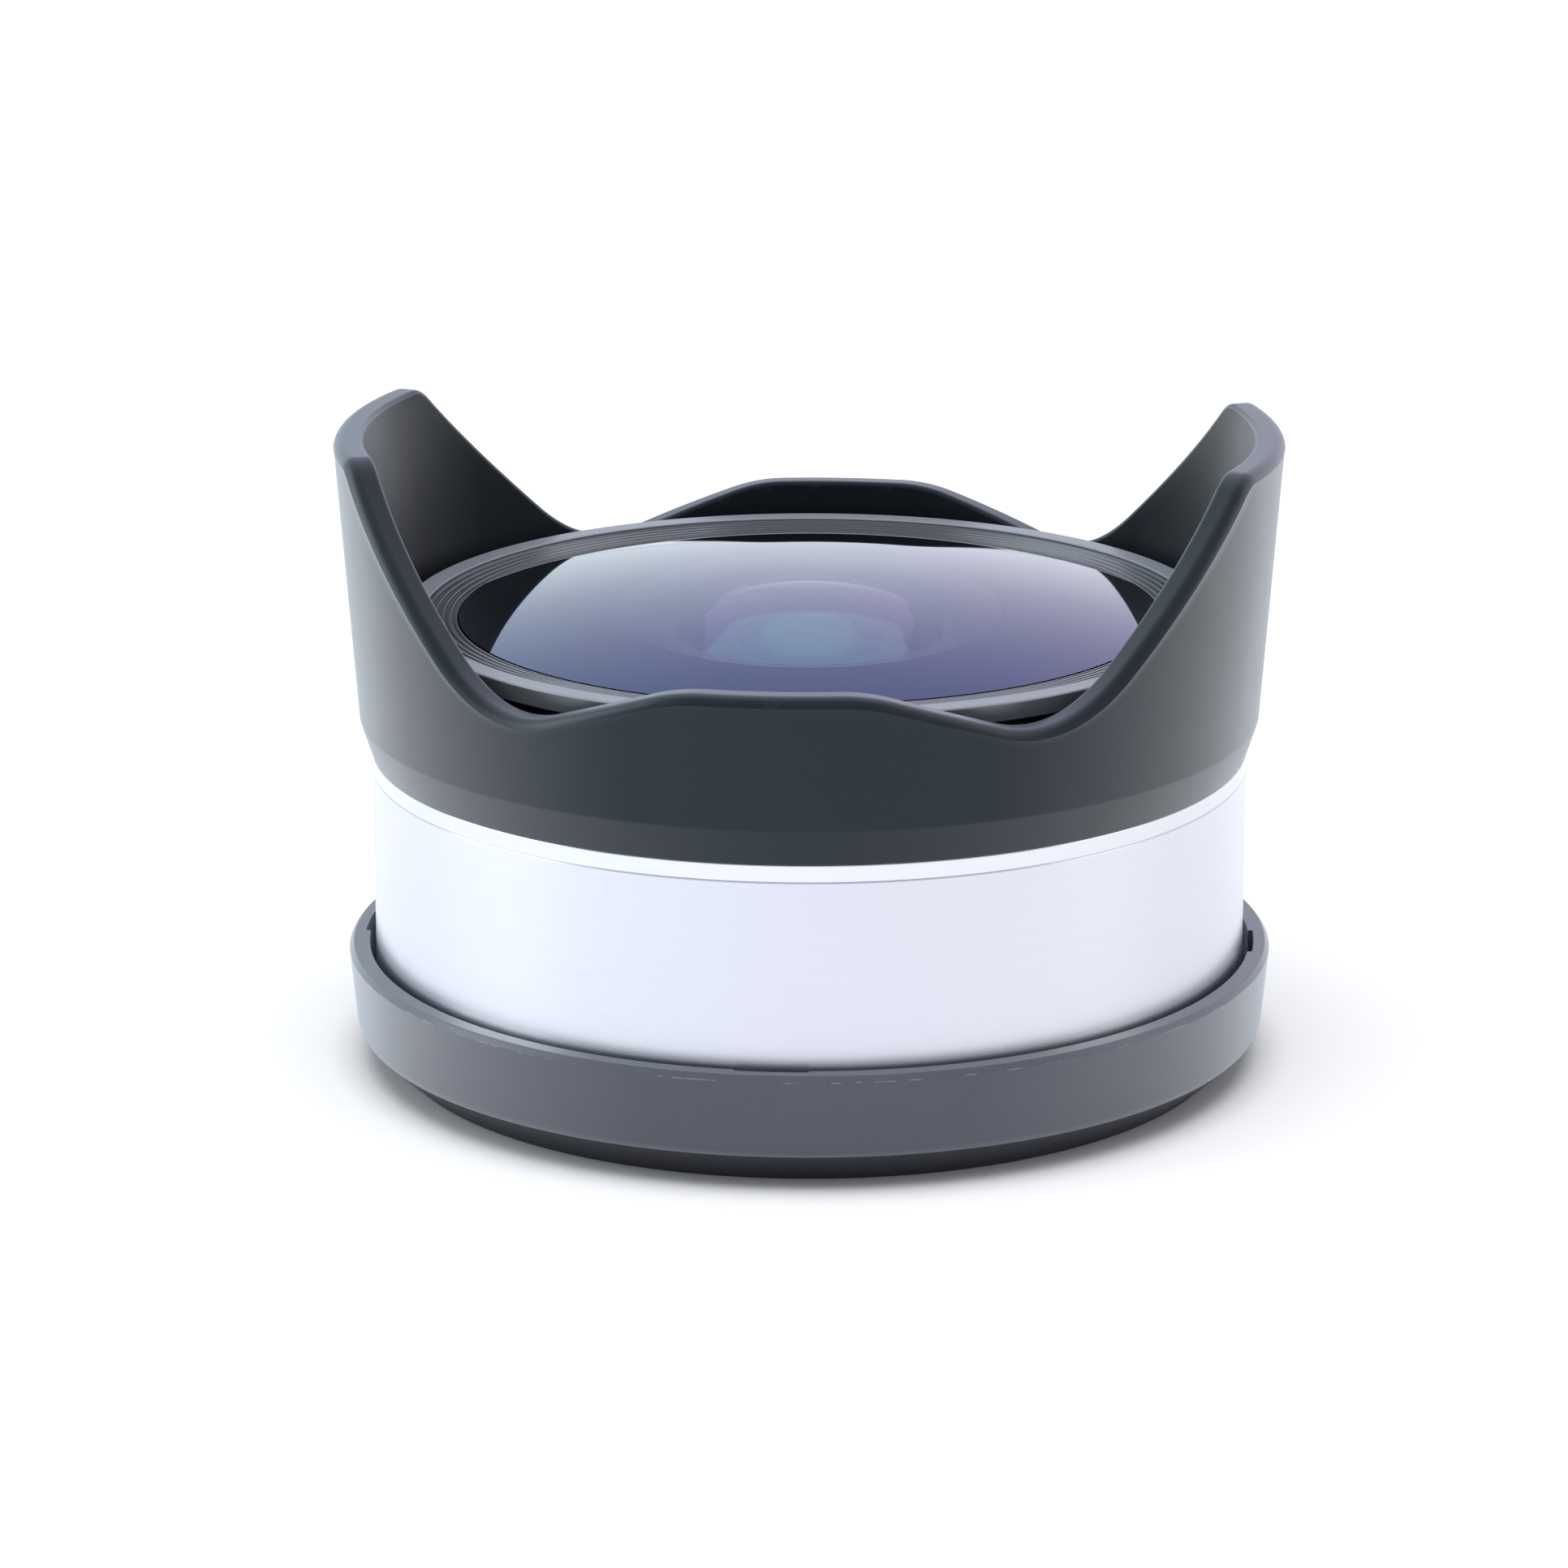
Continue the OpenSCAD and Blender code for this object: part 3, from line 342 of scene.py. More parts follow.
def newFinish(name, **sockets):
    material = bpy.data.materials.new(name)
    material.use_nodes = True
    tree = material.node_tree
    shader = tree.nodes["Principled BSDF"]
    for label, value in sockets.items():
        shader.inputs[label.replace("_", " ")].default_value = value
    finishes[name] = material
    return tree, shader, addNode(tree, "ShaderNodeTexCoord").outputs["Object"]


def useGroup(tree, group, place, **values):
    node = addNode(tree, "ShaderNodeGroup", node_tree=group)
    for label, value in {"Place": place, **values}.items():
        feed(tree, node.inputs[label], value)
    return node.outputs


def bumpFrom(tree, shader, height, depth):
    bump = addNode(tree, "ShaderNodeBump", {"Height": height, "Distance": depth * mm, "Strength": 1.0})
    tree.links.new(bump.outputs[0], shader.inputs["Normal"])


def wearAttribute(tree):
    return addNode(tree, "ShaderNodeAttribute", attribute_name="wear").outputs["Fac"]


def mouldedPlastic(name, deep, light, rubbed, rough, tooth, depth, dust, limb=0.0, limbFrom=0.15, bare=0.55,
                   **sockets):
    # deep to light by the mottle, paler and duller where the edge is rubbed, with a few specks of dust;
    # limb is the gloss that a grained skin gains where it turns away
    tree, shader, place = newFinish(name, **sockets)
    grain = useGroup(tree, mouldGrain, place, Tooth=tooth)
    worn = useGroup(tree, rubbedEdge, place, Edge=wearAttribute(tree), Bare=bare)["Mask"]
    specks = useGroup(tree, dustSpecks, place, Share=dust)["Mask"]
    colour = mixColour(tree, grain["Mottle"], rgba(deep), rgba(light))
    colour = mixColour(tree, worn, colour, rgba(rubbed))
    colour = mixColour(tree, specks, colour, rgba(shared["dustColour"]))
    tree.links.new(colour, shader.inputs["Base Color"])
    gloss = remap(tree, grain["Mottle"], 0, 1, rough[0], rough[1])
    duller = mathNode(tree, "MULTIPLY", worn, shared["wornDuller"])
    tree.links.new(mathNode(tree, "ADD", gloss, duller), shader.inputs["Roughness"])
    if limb:
        facing = addNode(tree, "ShaderNodeLayerWeight", {"Blend": 0.5}).outputs["Facing"]
        tree.links.new(remap(tree, facing, limbFrom, shared["limbTo"], 0, limb), shader.inputs["Coat Weight"])
    bumpFrom(tree, shader, grain["Height"], depth)


def turnedMetal(name, deep, light, rough, lines, depth, **sockets):
    # streaks round the axis change tone and gloss a little, and the finest lines stand in relief
    tree, shader, place = newFinish(name, **sockets)
    turned = useGroup(tree, turnedLines, place, Lines=lines)
    cloud = useGroup(tree, mouldGrain, place, Cloud=shared["metalCloud"])["Mottle"]
    colour = mixColour(tree, turned["Streak"], rgba(deep), rgba(light))
    tree.links.new(colour, shader.inputs["Base Color"])
    gloss = remap(tree, mathNode(tree, "ADD", turned["Streak"], cloud), 0, 2, rough[0], rough[1])
    tree.links.new(gloss, shader.inputs["Roughness"])
    bumpFrom(tree, shader, turned["Height"], depth)
    if shader.inputs["Anisotropic"].default_value:
        tangent = addNode(tree, "ShaderNodeTangent", direction_type="RADIAL", axis="Z")
        tree.links.new(tangent.outputs[0], shader.inputs["Tangent"])


def polishedGlass(name, body, **sockets):
    # clear glass whose body tint drifts a little
    tree, shader, place = newFinish(name, Transmission_Weight=1.0, Metallic=0.0, Roughness=0.004, **sockets)
    cloud = useGroup(tree, mouldGrain, place, Cloud=shared["glassCloud"])["Mottle"]
    drift = [part * shared["glassDrift"] for part in body]
    tree.links.new(mixColour(tree, cloud, rgba(body), rgba(drift)), shader.inputs["Base Color"])


blueSheen = dict(Sheen_Roughness=0.3, Sheen_Tint=rgba((0.6, 0.8, 1.0)), Specular_Tint=rgba((0.72, 0.86, 1.0)))
greySheen = dict(Sheen_Roughness=0.3, Sheen_Tint=rgba((0.72, 0.88, 1.0)))
mouldedPlastic("hoodPlastic", (0.0026, 0.0033, 0.0052), (0.0037, 0.0046, 0.0068), (0.02, 0.021, 0.024),
               rough=(0.4, 0.47), tooth=5200.0, depth=0.01, dust=0.006, limb=0.94, bare=0.64,
               Specular_IOR_Level=0.55, Sheen_Weight=0.25, Coat_IOR=2.0, Coat_Roughness=0.35, **blueSheen)
# the hood's inside: a rougher, less glossy copy of the hood plastic, a little darker as painted shade inside
# the hood
mouldedPlastic("hoodInsideShaded", (0.0022, 0.0028, 0.0042), (0.003, 0.0038, 0.0054), (0.02, 0.021, 0.024),
               rough=(0.5, 0.58), tooth=5200.0, depth=0.01, dust=0.006, limb=0.7, limbFrom=0.35,
               Specular_IOR_Level=0.3, Sheen_Weight=0.1, Coat_IOR=1.8, Coat_Roughness=0.4, **blueSheen)
mouldedPlastic("capPlastic", (0.086, 0.09, 0.118), (0.096, 0.101, 0.13), (0.4, 0.41, 0.43),
               rough=(0.36, 0.43), tooth=6500.0, depth=0.006, dust=0.006, limb=0.95, bare=0.5,
               Specular_IOR_Level=0.5, Sheen_Weight=0.6, Coat_IOR=2.2, Coat_Roughness=0.28, **greySheen)
# the flat of the cap's rim: a paler, greyer copy of the cap plastic with less gloss, painted light on the top
# face
mouldedPlastic("capRimPaintedLight", (0.102, 0.11, 0.122), (0.112, 0.12, 0.133), (0.4, 0.41, 0.43),
               rough=(0.4, 0.47), tooth=6500.0, depth=0.006, dust=0.006, limb=0.85, limbFrom=0.3, bare=0.6,
               Specular_IOR_Level=0.4, Coat_IOR=1.9, Coat_Roughness=0.3)
# the cap's bevel and foot: a darker copy of the cap plastic, painted shade where they face down
mouldedPlastic("capUnderShaded", (0.03, 0.031, 0.04), (0.036, 0.037, 0.047), (0.06, 0.06, 0.07),
               rough=(0.46, 0.54), tooth=6500.0, depth=0.006, dust=0.006, Specular_IOR_Level=0.25)
mouldedPlastic("coverPlastic", (0.012, 0.012, 0.013), (0.018, 0.018, 0.02), (0.03, 0.03, 0.03),
               rough=(0.5, 0.6), tooth=5000.0, depth=0.012, dust=0.02)
mouldedPlastic("sealRubber", (0.008, 0.008, 0.0085), (0.014, 0.014, 0.015), (0.02, 0.02, 0.02),
               rough=(0.6, 0.7), tooth=4000.0, depth=0.01, dust=0.03)
mouldedPlastic("indexPaint", (0.78, 0.78, 0.77), (0.86, 0.86, 0.86), (0.6, 0.6, 0.6),
               rough=(0.3, 0.4), tooth=3000.0, depth=0.01, dust=0.02)
mouldedPlastic("edgePaint", (0.0015, 0.0015, 0.0018), (0.0025, 0.0025, 0.003), (0.003, 0.003, 0.003),
               rough=(0.8, 0.9), tooth=4000.0, depth=0.006, dust=0.0, Specular_IOR_Level=0.0)
turnedMetal("satinAluminium", (0.785, 0.78, 0.845), (0.795, 0.79, 0.855), rough=(0.27, 0.29), lines=14000.0,
            depth=0.0003, Metallic=1.0, Anisotropic=0.75, Anisotropic_Rotation=0.25)
turnedMetal("polishedAluminium", (0.8, 0.795, 0.835), (0.82, 0.815, 0.855), rough=(0.1, 0.16), lines=16000.0,
            depth=0.001, Metallic=1.0)
turnedMetal("collarAnodise", (0.05, 0.056, 0.068), (0.06, 0.067, 0.08), rough=(0.26, 0.32), lines=12000.0,
            depth=0.0015, Specular_IOR_Level=1.0, Coat_Weight=0.3, Coat_IOR=1.7, Coat_Roughness=0.2)
turnedMetal("collarWall", (0.11, 0.12, 0.135), (0.12, 0.13, 0.147), rough=(0.18, 0.22), lines=12000.0,
            depth=0.0008, Specular_IOR_Level=1.0)
# the collar's top: paler than its wall, painted light where it faces up to the lamp
turnedMetal("collarTopPaintedLight", (0.25, 0.27, 0.315), (0.27, 0.29, 0.34), rough=(0.3, 0.36), lines=12000.0,
            depth=0.0015, Specular_IOR_Level=1.0)
turnedMetal("blackAluminium", (0.012, 0.012, 0.014), (0.02, 0.021, 0.024), rough=(0.28, 0.36), lines=12000.0,
            depth=0.003, Specular_IOR_Level=1.0)
turnedMetal("platedBrass", (0.66, 0.66, 0.68), (0.72, 0.72, 0.74), rough=(0.18, 0.26), lines=9000.0,
            depth=0.003, Metallic=1.0)
turnedMetal("plainSteel", (0.46, 0.47, 0.49), (0.55, 0.56, 0.58), rough=(0.25, 0.36), lines=7000.0,
            depth=0.003, Metallic=1.0)
polishedGlass("coatedGlass", (0.97, 0.97, 1.0), IOR=1.5, Thin_Film_Thickness=167.0, Thin_Film_IOR=1.98,
              Coat_Weight=1.0, Coat_IOR=1.44, Coat_Roughness=0.004)
polishedGlass("bowlGlass", (0.97, 0.97, 1.0), IOR=1.5, Thin_Film_Thickness=228.0, Thin_Film_IOR=1.9,
              Sheen_Weight=0.8, Sheen_Roughness=0.6, Sheen_Tint=rgba((0.8, 0.55, 1.0)))
polishedGlass("secondGlass", (0.7, 1.0, 0.82), IOR=2.2, Specular_Tint=rgba((0.4, 1.0, 0.5)))
polishedGlass("rearGlass", (0.9, 0.96, 1.0), IOR=1.45)
print("finishes ready:", len(finishes))


# Mesh helpers

def roundedOutline(corners, closed=True, arcStep=12, hold=0.35):
    # Corners (r, z, rounding, worn) become one outline. A rounding is an arc tangent to both sides, with its
    # centre on the bisector at rounding / sin(half angle). A holding point on each side keeps the flat flat.
    points, worn = [], []
    count = len(corners)
    for i, (r, z, rounding, wear) in enumerate(corners):
        here = np.array((r, z))
        if rounding == 0 or (not closed and i in (0, count - 1)):
            points.append(here[None])
            worn.append(np.full(1, wear))
            continue
        back = np.array(corners[i - 1][:2]) - here
        on = np.array(corners[(i + 1) % count][:2]) - here
        u, v = back / np.linalg.norm(back), on / np.linalg.norm(on)
        angle = math.acos(np.clip(u @ v, -1, 1))
        reach = rounding / math.tan(angle / 2)
        centre = here + (u + v) / np.linalg.norm(u + v) * rounding / math.sin(angle / 2)
        turn = math.pi - angle
        steps = max(2, math.ceil(math.degrees(turn) / arcStep))
        t = np.linspace(0, 1, steps + 1)[:, None]
        first, last = here + u * reach - centre, here + v * reach - centre
        arc = centre + (np.sin((1 - t) * turn) * first + np.sin(t * turn) * last) / math.sin(turn)
        before, after = here + u * reach * (1 + hold), here + v * reach * (1 + hold)
        points.append(np.vstack([before[None], arc, after[None]]))
        worn.append(np.r_[0.0, wear * np.sin(np.pi * t[:, 0]) ** 3, 0.0])
    return np.vstack(points), np.concatenate(worn)


def evenTurn(stations):
    return np.arange(stations) * 2 * np.pi / stations


def roundAxis(r, z, angles):
    # point(a, j) = (r cos a, r sin a, z), with an r and a z for each station a and row j
    return np.stack([r * np.cos(angles)[:, None], r * np.sin(angles)[:, None], z], axis=2)


def revolve(outline, angles):
    # the same outline (r_j, z_j) at every station
    r, z = (np.broadcast_to(side, (len(angles), len(outline))) for side in outline.T)
    return roundAxis(r, z, angles)


def numbered(grid):
    # the running number of each point of a grid
    return np.arange(grid.shape[0] * grid.shape[1]).reshape(grid.shape[:2])


def ringQuads(index, looped):
    # (i, j), (i + 1, j), (i + 1, j + 1), (i, j + 1): outward where the outline climbs its outer wall
    ahead = np.roll(index, -1, axis=0)
    quads = np.stack([index, ahead, np.roll(ahead, -1, axis=1), np.roll(index, -1, axis=1)], axis=2)
    return quads if looped else quads[:, :-1]


def putMesh(name, points, quads, fans=None, wear=None, sharp=32):
    fans = np.zeros((0, 3), int) if fans is None else fans
    corners = np.concatenate([quads.ravel(), fans.ravel()])
    sizes = np.concatenate([np.full(len(quads), 4), np.full(len(fans), 3)])
    mesh = bpy.data.meshes.new(name)
    mesh.vertices.add(len(points))
    mesh.vertices.foreach_set("co", (points * mm).astype(np.float32).ravel())
    mesh.loops.add(len(corners))
    mesh.loops.foreach_set("vertex_index", corners.astype(np.int32))
    mesh.polygons.add(len(sizes))
    mesh.polygons.foreach_set("loop_start", np.r_[0, np.cumsum(sizes)[:-1]].astype(np.int32))
    mesh.polygons.foreach_set("use_smooth", np.ones(len(sizes), bool))
    mesh.update(calc_edges=True)
    mesh.validate()
    mesh.set_sharp_from_angle(angle=math.radians(sharp))
    if wear is not None:
        worn = mesh.attributes.new("wear", "FLOAT", "POINT")
        worn.data.foreach_set("value", wear.astype(np.float32).ravel())
    piece = bpy.data.objects.new(name, mesh)
    scene.collection.objects.link(piece)
    return piece


def faceMiddles(piece):
    middle = np.zeros(len(piece.data.polygons) * 3)
    piece.data.polygons.foreach_get("center", middle)
    return middle.reshape(-1, 3).T / mm


def markFaces(piece, marks):
    # which of its finishes each face wears
    piece.data.polygons.foreach_set("material_index", marks.ravel().astype(np.int32))


def dress(piece, finish, body, node):
    for name in [finish] if isinstance(finish, str) else finish:
        piece.data.materials.append(finishes[name])
    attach(piece, body)
    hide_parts(node)
    print("  made", piece.name, "for", node, "with", len(piece.data.polygons), "faces")
    return piece


def turnedRing(name, corners, stations=360):
    outline, worn = roundedOutline(corners)
    grid = revolve(outline, evenTurn(stations))
    return putMesh(name, grid.reshape(-1, 3), ringQuads(numbered(grid), True).reshape(-1, 4),
                   wear=np.broadcast_to(worn, grid.shape[:2]))


def axisPoints(outline):
    # the two ends of an outline that starts and ends on the axis
    return np.array([[0, 0, outline[0, 1]], [0, 0, outline[-1, 1]]])


def poleFans(index, low, high):
    # a fan round each end of the outline, down at its start and up at its end
    ahead = np.roll(index, -1, axis=0)
    start = np.stack([np.full(len(index), low), ahead[:, 0], index[:, 0]], axis=1)
    end = np.stack([index[:, -1], ahead[:, -1], np.full(len(index), high)], axis=1)
    return np.concatenate([start, end])


def sphereArc(outerR, edgeZ, poleZ, steps):
    # arc from the axis to (outerR, edgeZ) on the sphere of radius (r^2 + d^2) / 2d, where d is the rise
    rise = poleZ - edgeZ
    curve = (outerR ** 2 + rise ** 2) / (2 * abs(rise))
    tilt = np.linspace(0, math.asin(outerR / curve), steps)
    return np.stack([curve * np.sin(tilt), poleZ - np.sign(rise) * curve * (1 - np.cos(tilt))], axis=1)


# Petal hood

hood = dict(chamferH=2.6, chamferW=0.84, lean=4.2, wall=2.1, outerRound=0.85, innerRound=0.3,
            lowRise=9.2, tallHalf=21.6, lowHalf=11.7, tallSlope=40.8, lowSlope=17.1,
            dipBlend=5.6, tallBlend=0.9, lowBlend=0.6, baseH=3.5, baseW=2.15,
            spigotGap=0.1, footRound=0.12, chamferRound=0.5, skirt=3, wallRows=17, outerRows=8,
            rimRows=(0.12, 0.5, 0.88), innerRows=6, insideRows=15, outerWear=1.0, rimWear=0.3, innerWear=0.8,
            stations=720)


def blendMin(a, b, k):
    # least of two heights with a parabola of height k / 4 where they meet
    return np.minimum(a, b) - np.maximum(k - np.abs(a - b), 0) ** 2 / (4 * k)


def makeHood():
    h = hood
    chamferZ, chamferR = hoodZ + h["chamferH"], barrelR + h["chamferW"]
    lowZ = chamferZ + h["lowRise"]
    spigotR = barrelR - barrel["wall"] - h["spigotGap"]
    baseR, baseZ = spigotR - h["baseW"], shelfZ + h["baseH"]
    lean = math.tan(math.radians(h["lean"]))
    angles = evenTurn(h["stations"])

    # rim height: flat tall petals at 0 and 180 degrees, low ones at 90 and 270, sloping sides between them
    fold = np.degrees(np.arccos(np.abs(np.cos(angles))))
    arc = chamferR * np.radians(1)
    tallSide = tallZ - math.tan(math.radians(h["tallSlope"])) * arc * (fold - h["tallHalf"])
    lowSide = lowZ - math.tan(math.radians(h["lowSlope"])) * arc * (90 - h["lowHalf"] - fold)
    tall = blendMin(tallZ, tallSide, h["tallBlend"])
    low = blendMin(lowZ, lowSide, h["lowBlend"])
    rim = -blendMin(-tall, -low, h["dipBlend"])

    # a sloping rim is cut aslant by an upright section, so its roundings are drawn out by 1 / cos(slope)
    slope = np.gradient(np.r_[rim[-1], rim, rim[0]])[1:-1] / (chamferR * 2 * np.pi / h["stations"])
    aslant = np.sqrt(1 + slope ** 2)
    outerZ, innerZ = h["outerRound"] * aslant, h["innerRound"] * aslant

    def wallR(z):
        return chamferR + (z - chamferZ) * lean

    # each row is a curve (r, z) round the hood: up the foot and the outer wall, over the rim and down inside
    rimR, skirtZ = wallR(rim), chamferZ + h["skirt"]
    footCorners = [(spigotR, shelfZ, 0, 0), (spigotR, hoodZ, 0, 0), (barrelR, hoodZ, h["footRound"], 0),
                   (chamferR, chamferZ, h["chamferRound"], 0), (wallR(skirtZ), skirtZ, 0, 0)]
    foot = roundedOutline(footCorners, closed=False)[0][:-1]
    rows = [(np.full_like(rim, r), np.full_like(rim, z)) for r, z in foot]
    wear = [0.0] * len(rows)

    startZ = foot[-1, 1]
    for t in np.linspace(0, 1, h["wallRows"] + 1)[1:]:
        z = startZ + (rim - outerZ - startZ) * t
        rows.append((wallR(z), z))
        wear.append(0.0)
    for t in np.radians(np.linspace(0, 90, h["outerRows"] + 1)[1:]):
        rows.append((rimR - h["outerRound"] * (1 - math.cos(t)), rim - outerZ * (1 - math.sin(t))))
        wear.append(h["outerWear"])
    across = h["wall"] - h["outerRound"] - h["innerRound"]
    for t in h["rimRows"]:
        rows.append((rimR - h["outerRound"] - across * t, rim))
        wear.append(h["rimWear"])
    for t in np.radians(np.linspace(0, 90, h["innerRows"])):
        r = rimR - h["wall"] + h["innerRound"] * (1 - math.sin(t))
        rows.append((r, rim - innerZ * (1 - math.cos(t))))
        wear.append(h["innerWear"])
    innerRow = len(rows) - 1
    for t in np.linspace(0, 1, h["insideRows"] + 1)[1:]:
        z = rim - innerZ + (baseZ - rim + innerZ) * t
        rows.append((wallR(z) - h["wall"], z))
        wear.append(0.0)
    for r, z in [(baseR, baseZ), (baseR, shelfZ)]:
        rows.append((np.full_like(rim, r), np.full_like(rim, z)))
        wear.append(0.0)

    r = np.stack([row[0] for row in rows], axis=1)
    z = np.stack([row[1] for row in rows], axis=1)
    grid = roundAxis(r, z, angles)
    piece = putMesh("petalHood", grid.reshape(-1, 3), ringQuads(numbered(grid), True).reshape(-1, 4),
                    wear=np.broadcast_to(wear, r.shape))
    # faces from the inner rounding down wear the inside copy, a little darker as painted shade inside the
    # hood
    markFaces(piece, np.broadcast_to(np.arange(r.shape[1]) >= innerRow, r.shape))
    return dress(piece, ["hoodPlastic", "hoodInsideShaded"], "lens", "petal_hood")


# Barrel with the window for the release knob, and the bright ring above it

barrel = dict(wall=1.1, footChamfer=0.35, flangeT=1.6, topFlangeW=7, flangeZ=8.2, lowFlangeR=26.0, edge=0.1,
              footRound=0.08, chamferRound=0.15, windowFrom=85.2, windowTo=100.8, windowLow=12.2,
              windowHigh=15.0, stations=360)


def makeBarrel():
    b = barrel
    boreR = barrelR - b["wall"]
    deckZ, flangeR, edge = b["flangeZ"] + b["flangeT"], boreR - b["topFlangeW"], b["edge"]
    corners = [
        (boreR, rearZ, edge, 0), (barrelR - b["footChamfer"], rearZ, b["footRound"], 0),
        (barrelR, rearZ + b["footChamfer"], b["chamferRound"], 0), (barrelR, b["windowLow"], 0, 0),
        (barrelR, b["windowHigh"], 0, 0), (barrelR, topZ, edge, 0), (boreR, topZ, 0, 0),
        (boreR, shelfZ, 0, 0), (flangeR, shelfZ, edge, 0), (flangeR, shelfZ - b["flangeT"], edge, 0),
        (boreR, shelfZ - b["flangeT"], 0, 0), (boreR, b["windowHigh"], 0, 0), (boreR, b["windowLow"], 0, 0),
        (boreR, deckZ, 0, 0), (b["lowFlangeR"], deckZ, edge, 0), (b["lowFlangeR"], b["flangeZ"], edge, 0),
        (boreR, b["flangeZ"], 0, 0)]
    outline, worn = roundedOutline(corners)
    first, last = np.radians(b["windowFrom"]), np.radians(b["windowTo"])
    angles = np.sort(np.r_[evenTurn(b["stations"]), first, last])
    grid = revolve(outline, angles)
    index = numbered(grid)
    quads = ringQuads(index, True)

    # rows of the window's sills on the outer wall and on the bore, and the stations of its two jambs
    def row(r, z):
        return int(np.argmin(np.hypot(outline[:, 0] - r, outline[:, 1] - z)))

    outLow, outHigh = row(barrelR, b["windowLow"]), row(barrelR, b["windowHigh"])
    inHigh, inLow = row(boreR, b["windowHigh"]), row(boreR, b["windowLow"])
    left, right = int(np.argmin(np.abs(angles - first))), int(np.argmin(np.abs(angles - last)))
    keep = np.ones(quads.shape[:2], bool)
    keep[left:right, outLow:outHigh] = False
    keep[left:right, inHigh:inLow] = False
    here, ahead = index[left:right], index[left + 1:right + 1]
    sill = np.stack([here[:, outLow], ahead[:, outLow], ahead[:, inLow], here[:, inLow]], axis=1)
    head = np.stack([here[:, inHigh], ahead[:, inHigh], ahead[:, outHigh], here[:, outHigh]], axis=1)
    jambs = np.stack([index[left, [outLow, inLow, inHigh, outHigh]],
                      index[right, [inLow, outLow, outHigh, inHigh]]])
    piece = putMesh("outerBarrel", grid.reshape(-1, 3), np.concatenate([quads[keep], sill, head, jambs]),
                    wear=np.broadcast_to(worn, grid.shape[:2]))
    return dress(piece, "satinAluminium", "lens", "outer_barrel")


trim = dict(innerRound=0.05, lowRound=0.08, topRound=0.1)


def makeTrimRing():
    boreR = barrelR - barrel["wall"]
    corners = [(boreR, topZ, trim["innerRound"], 0), (barrelR, topZ, trim["lowRound"], 0),
               (barrelR, hoodZ, trim["topRound"], 0), (boreR, hoodZ, trim["innerRound"], 0)]
    return dress(turnedRing("trimRing", corners), "polishedAluminium", "lens", "trim_ring")


# Collar, ribbed ring and front glass

front = dict(wallR=27.55, baseZ=24.05, passR=15.8, floorZ=22.5, wellR=22.0, seatZ=27.0, glassEdge=2.95,
             glassStep=1.98, glassMid=2.5, rimW=1.6, collarT=1.3, grooveW=0.7, grooveH=1.2, lipLap=1.55,
             lipW=2.3, bowlLand=12.6, seatGap=0.1, threadGap=0.05, baseRound=0.15, lipRound=0.08,
             grooveRound=0.05, collarRound=0.14, wellRound=0.1, collarWear=1, threadWear=0.4, topBand=0.1,
             domeSteps=64, bowlSteps=48, stations=320)


def makeFrontCell():
    f = front
    cellHigh = span("front_cell")[1]
    collarR, collarZ = cellHigh[0], cellHigh[2]
    threadR = collarR - f["rimW"]
    glassR = threadR - f["threadGap"] - f["lipLap"] + f["seatGap"]
    seatZ, edgeZ = f["seatZ"], f["seatZ"] + f["glassEdge"]
    grooveR, grooveTop = collarR - f["grooveW"], collarZ - f["collarT"]
    grooveLow = grooveTop - f["grooveH"]
    corners = [
        (f["passR"], shelfZ, 0, 0), (f["wallR"], shelfZ, 0, 0), (f["wallR"], f["baseZ"], 0, 0),
        (collarR, f["baseZ"], f["baseRound"], 0), (collarR, grooveLow, f["lipRound"], 0),
        (grooveR, grooveLow, f["grooveRound"], 0), (grooveR, grooveTop, f["grooveRound"], 0),
        (collarR, grooveTop, f["lipRound"], 0), (collarR, collarZ, f["collarRound"], f["collarWear"]),
        (threadR, collarZ, f["lipRound"], f["threadWear"]), (threadR, edgeZ, 0, 0), (glassR, edgeZ, 0, 0),
        (glassR, seatZ, 0, 0), (f["wellR"], seatZ, f["wellRound"], 0), (f["wellR"], f["floorZ"], 0, 0),
        (f["passR"], f["floorZ"], f["wellRound"], 0)]
    piece = turnedRing("frontCell", corners)
    # the collar's top is pale grey, painted light where it faces the lamp above, and its wall a darker grey;
    # the well and all under the groove are black
    x, y, z = faceMiddles(piece)
    inside = (np.hypot(x, y) < threadR - f["seatGap"]) | (z < grooveTop - f["seatGap"])
    markFaces(piece, np.where(inside, 1, np.where(z < collarZ - f["topBand"], 2, 0)))
    return dress(piece, ["collarTopPaintedLight", "blackAluminium", "collarWall"], "lens", "front_cell")


ribbed = dict(ribs=4, drop=0.05, groove=0.2, innerLand=0.2, ribShare=0.55, grooveFrom=0.7, grooveTo=0.9,
              outerRound=0.04, innerRound=0.05, grooveRound=0.02, wear=0.5)


def makeRetainingRing():
    g = ribbed
    ringLow, ringHigh = span("front_retaining_ring")
    outR, topRib, footZ = ringHigh[0], ringHigh[2], ringLow[2]
    inR = outR - front["lipW"]
    pitch = (front["lipW"] - g["innerLand"]) / g["ribs"]
    corners = [(inR, footZ, 0, 0), (outR, footZ, 0, 0)]
    for i in range(g["ribs"]):
        r, z = outR - i * pitch, topRib - i * g["drop"]
        corners += [(r, z, g["outerRound"], g["wear"]),
                    (r - pitch * g["ribShare"], z, g["innerRound"], g["wear"]),
                    (r - pitch * g["grooveFrom"], z - g["groove"], g["grooveRound"], 0),
                    (r - pitch * g["grooveTo"], z - g["groove"], g["grooveRound"], 0)]
    landZ = topRib - g["ribs"] * g["drop"]
    corners += [(inR + g["innerLand"], landZ, g["grooveRound"], g["wear"]),
                (inR, landZ, g["innerRound"], g["wear"])]
    return dress(turnedRing("frontRetainingRing", corners), "collarAnodise", "lens", "front_retaining_ring")


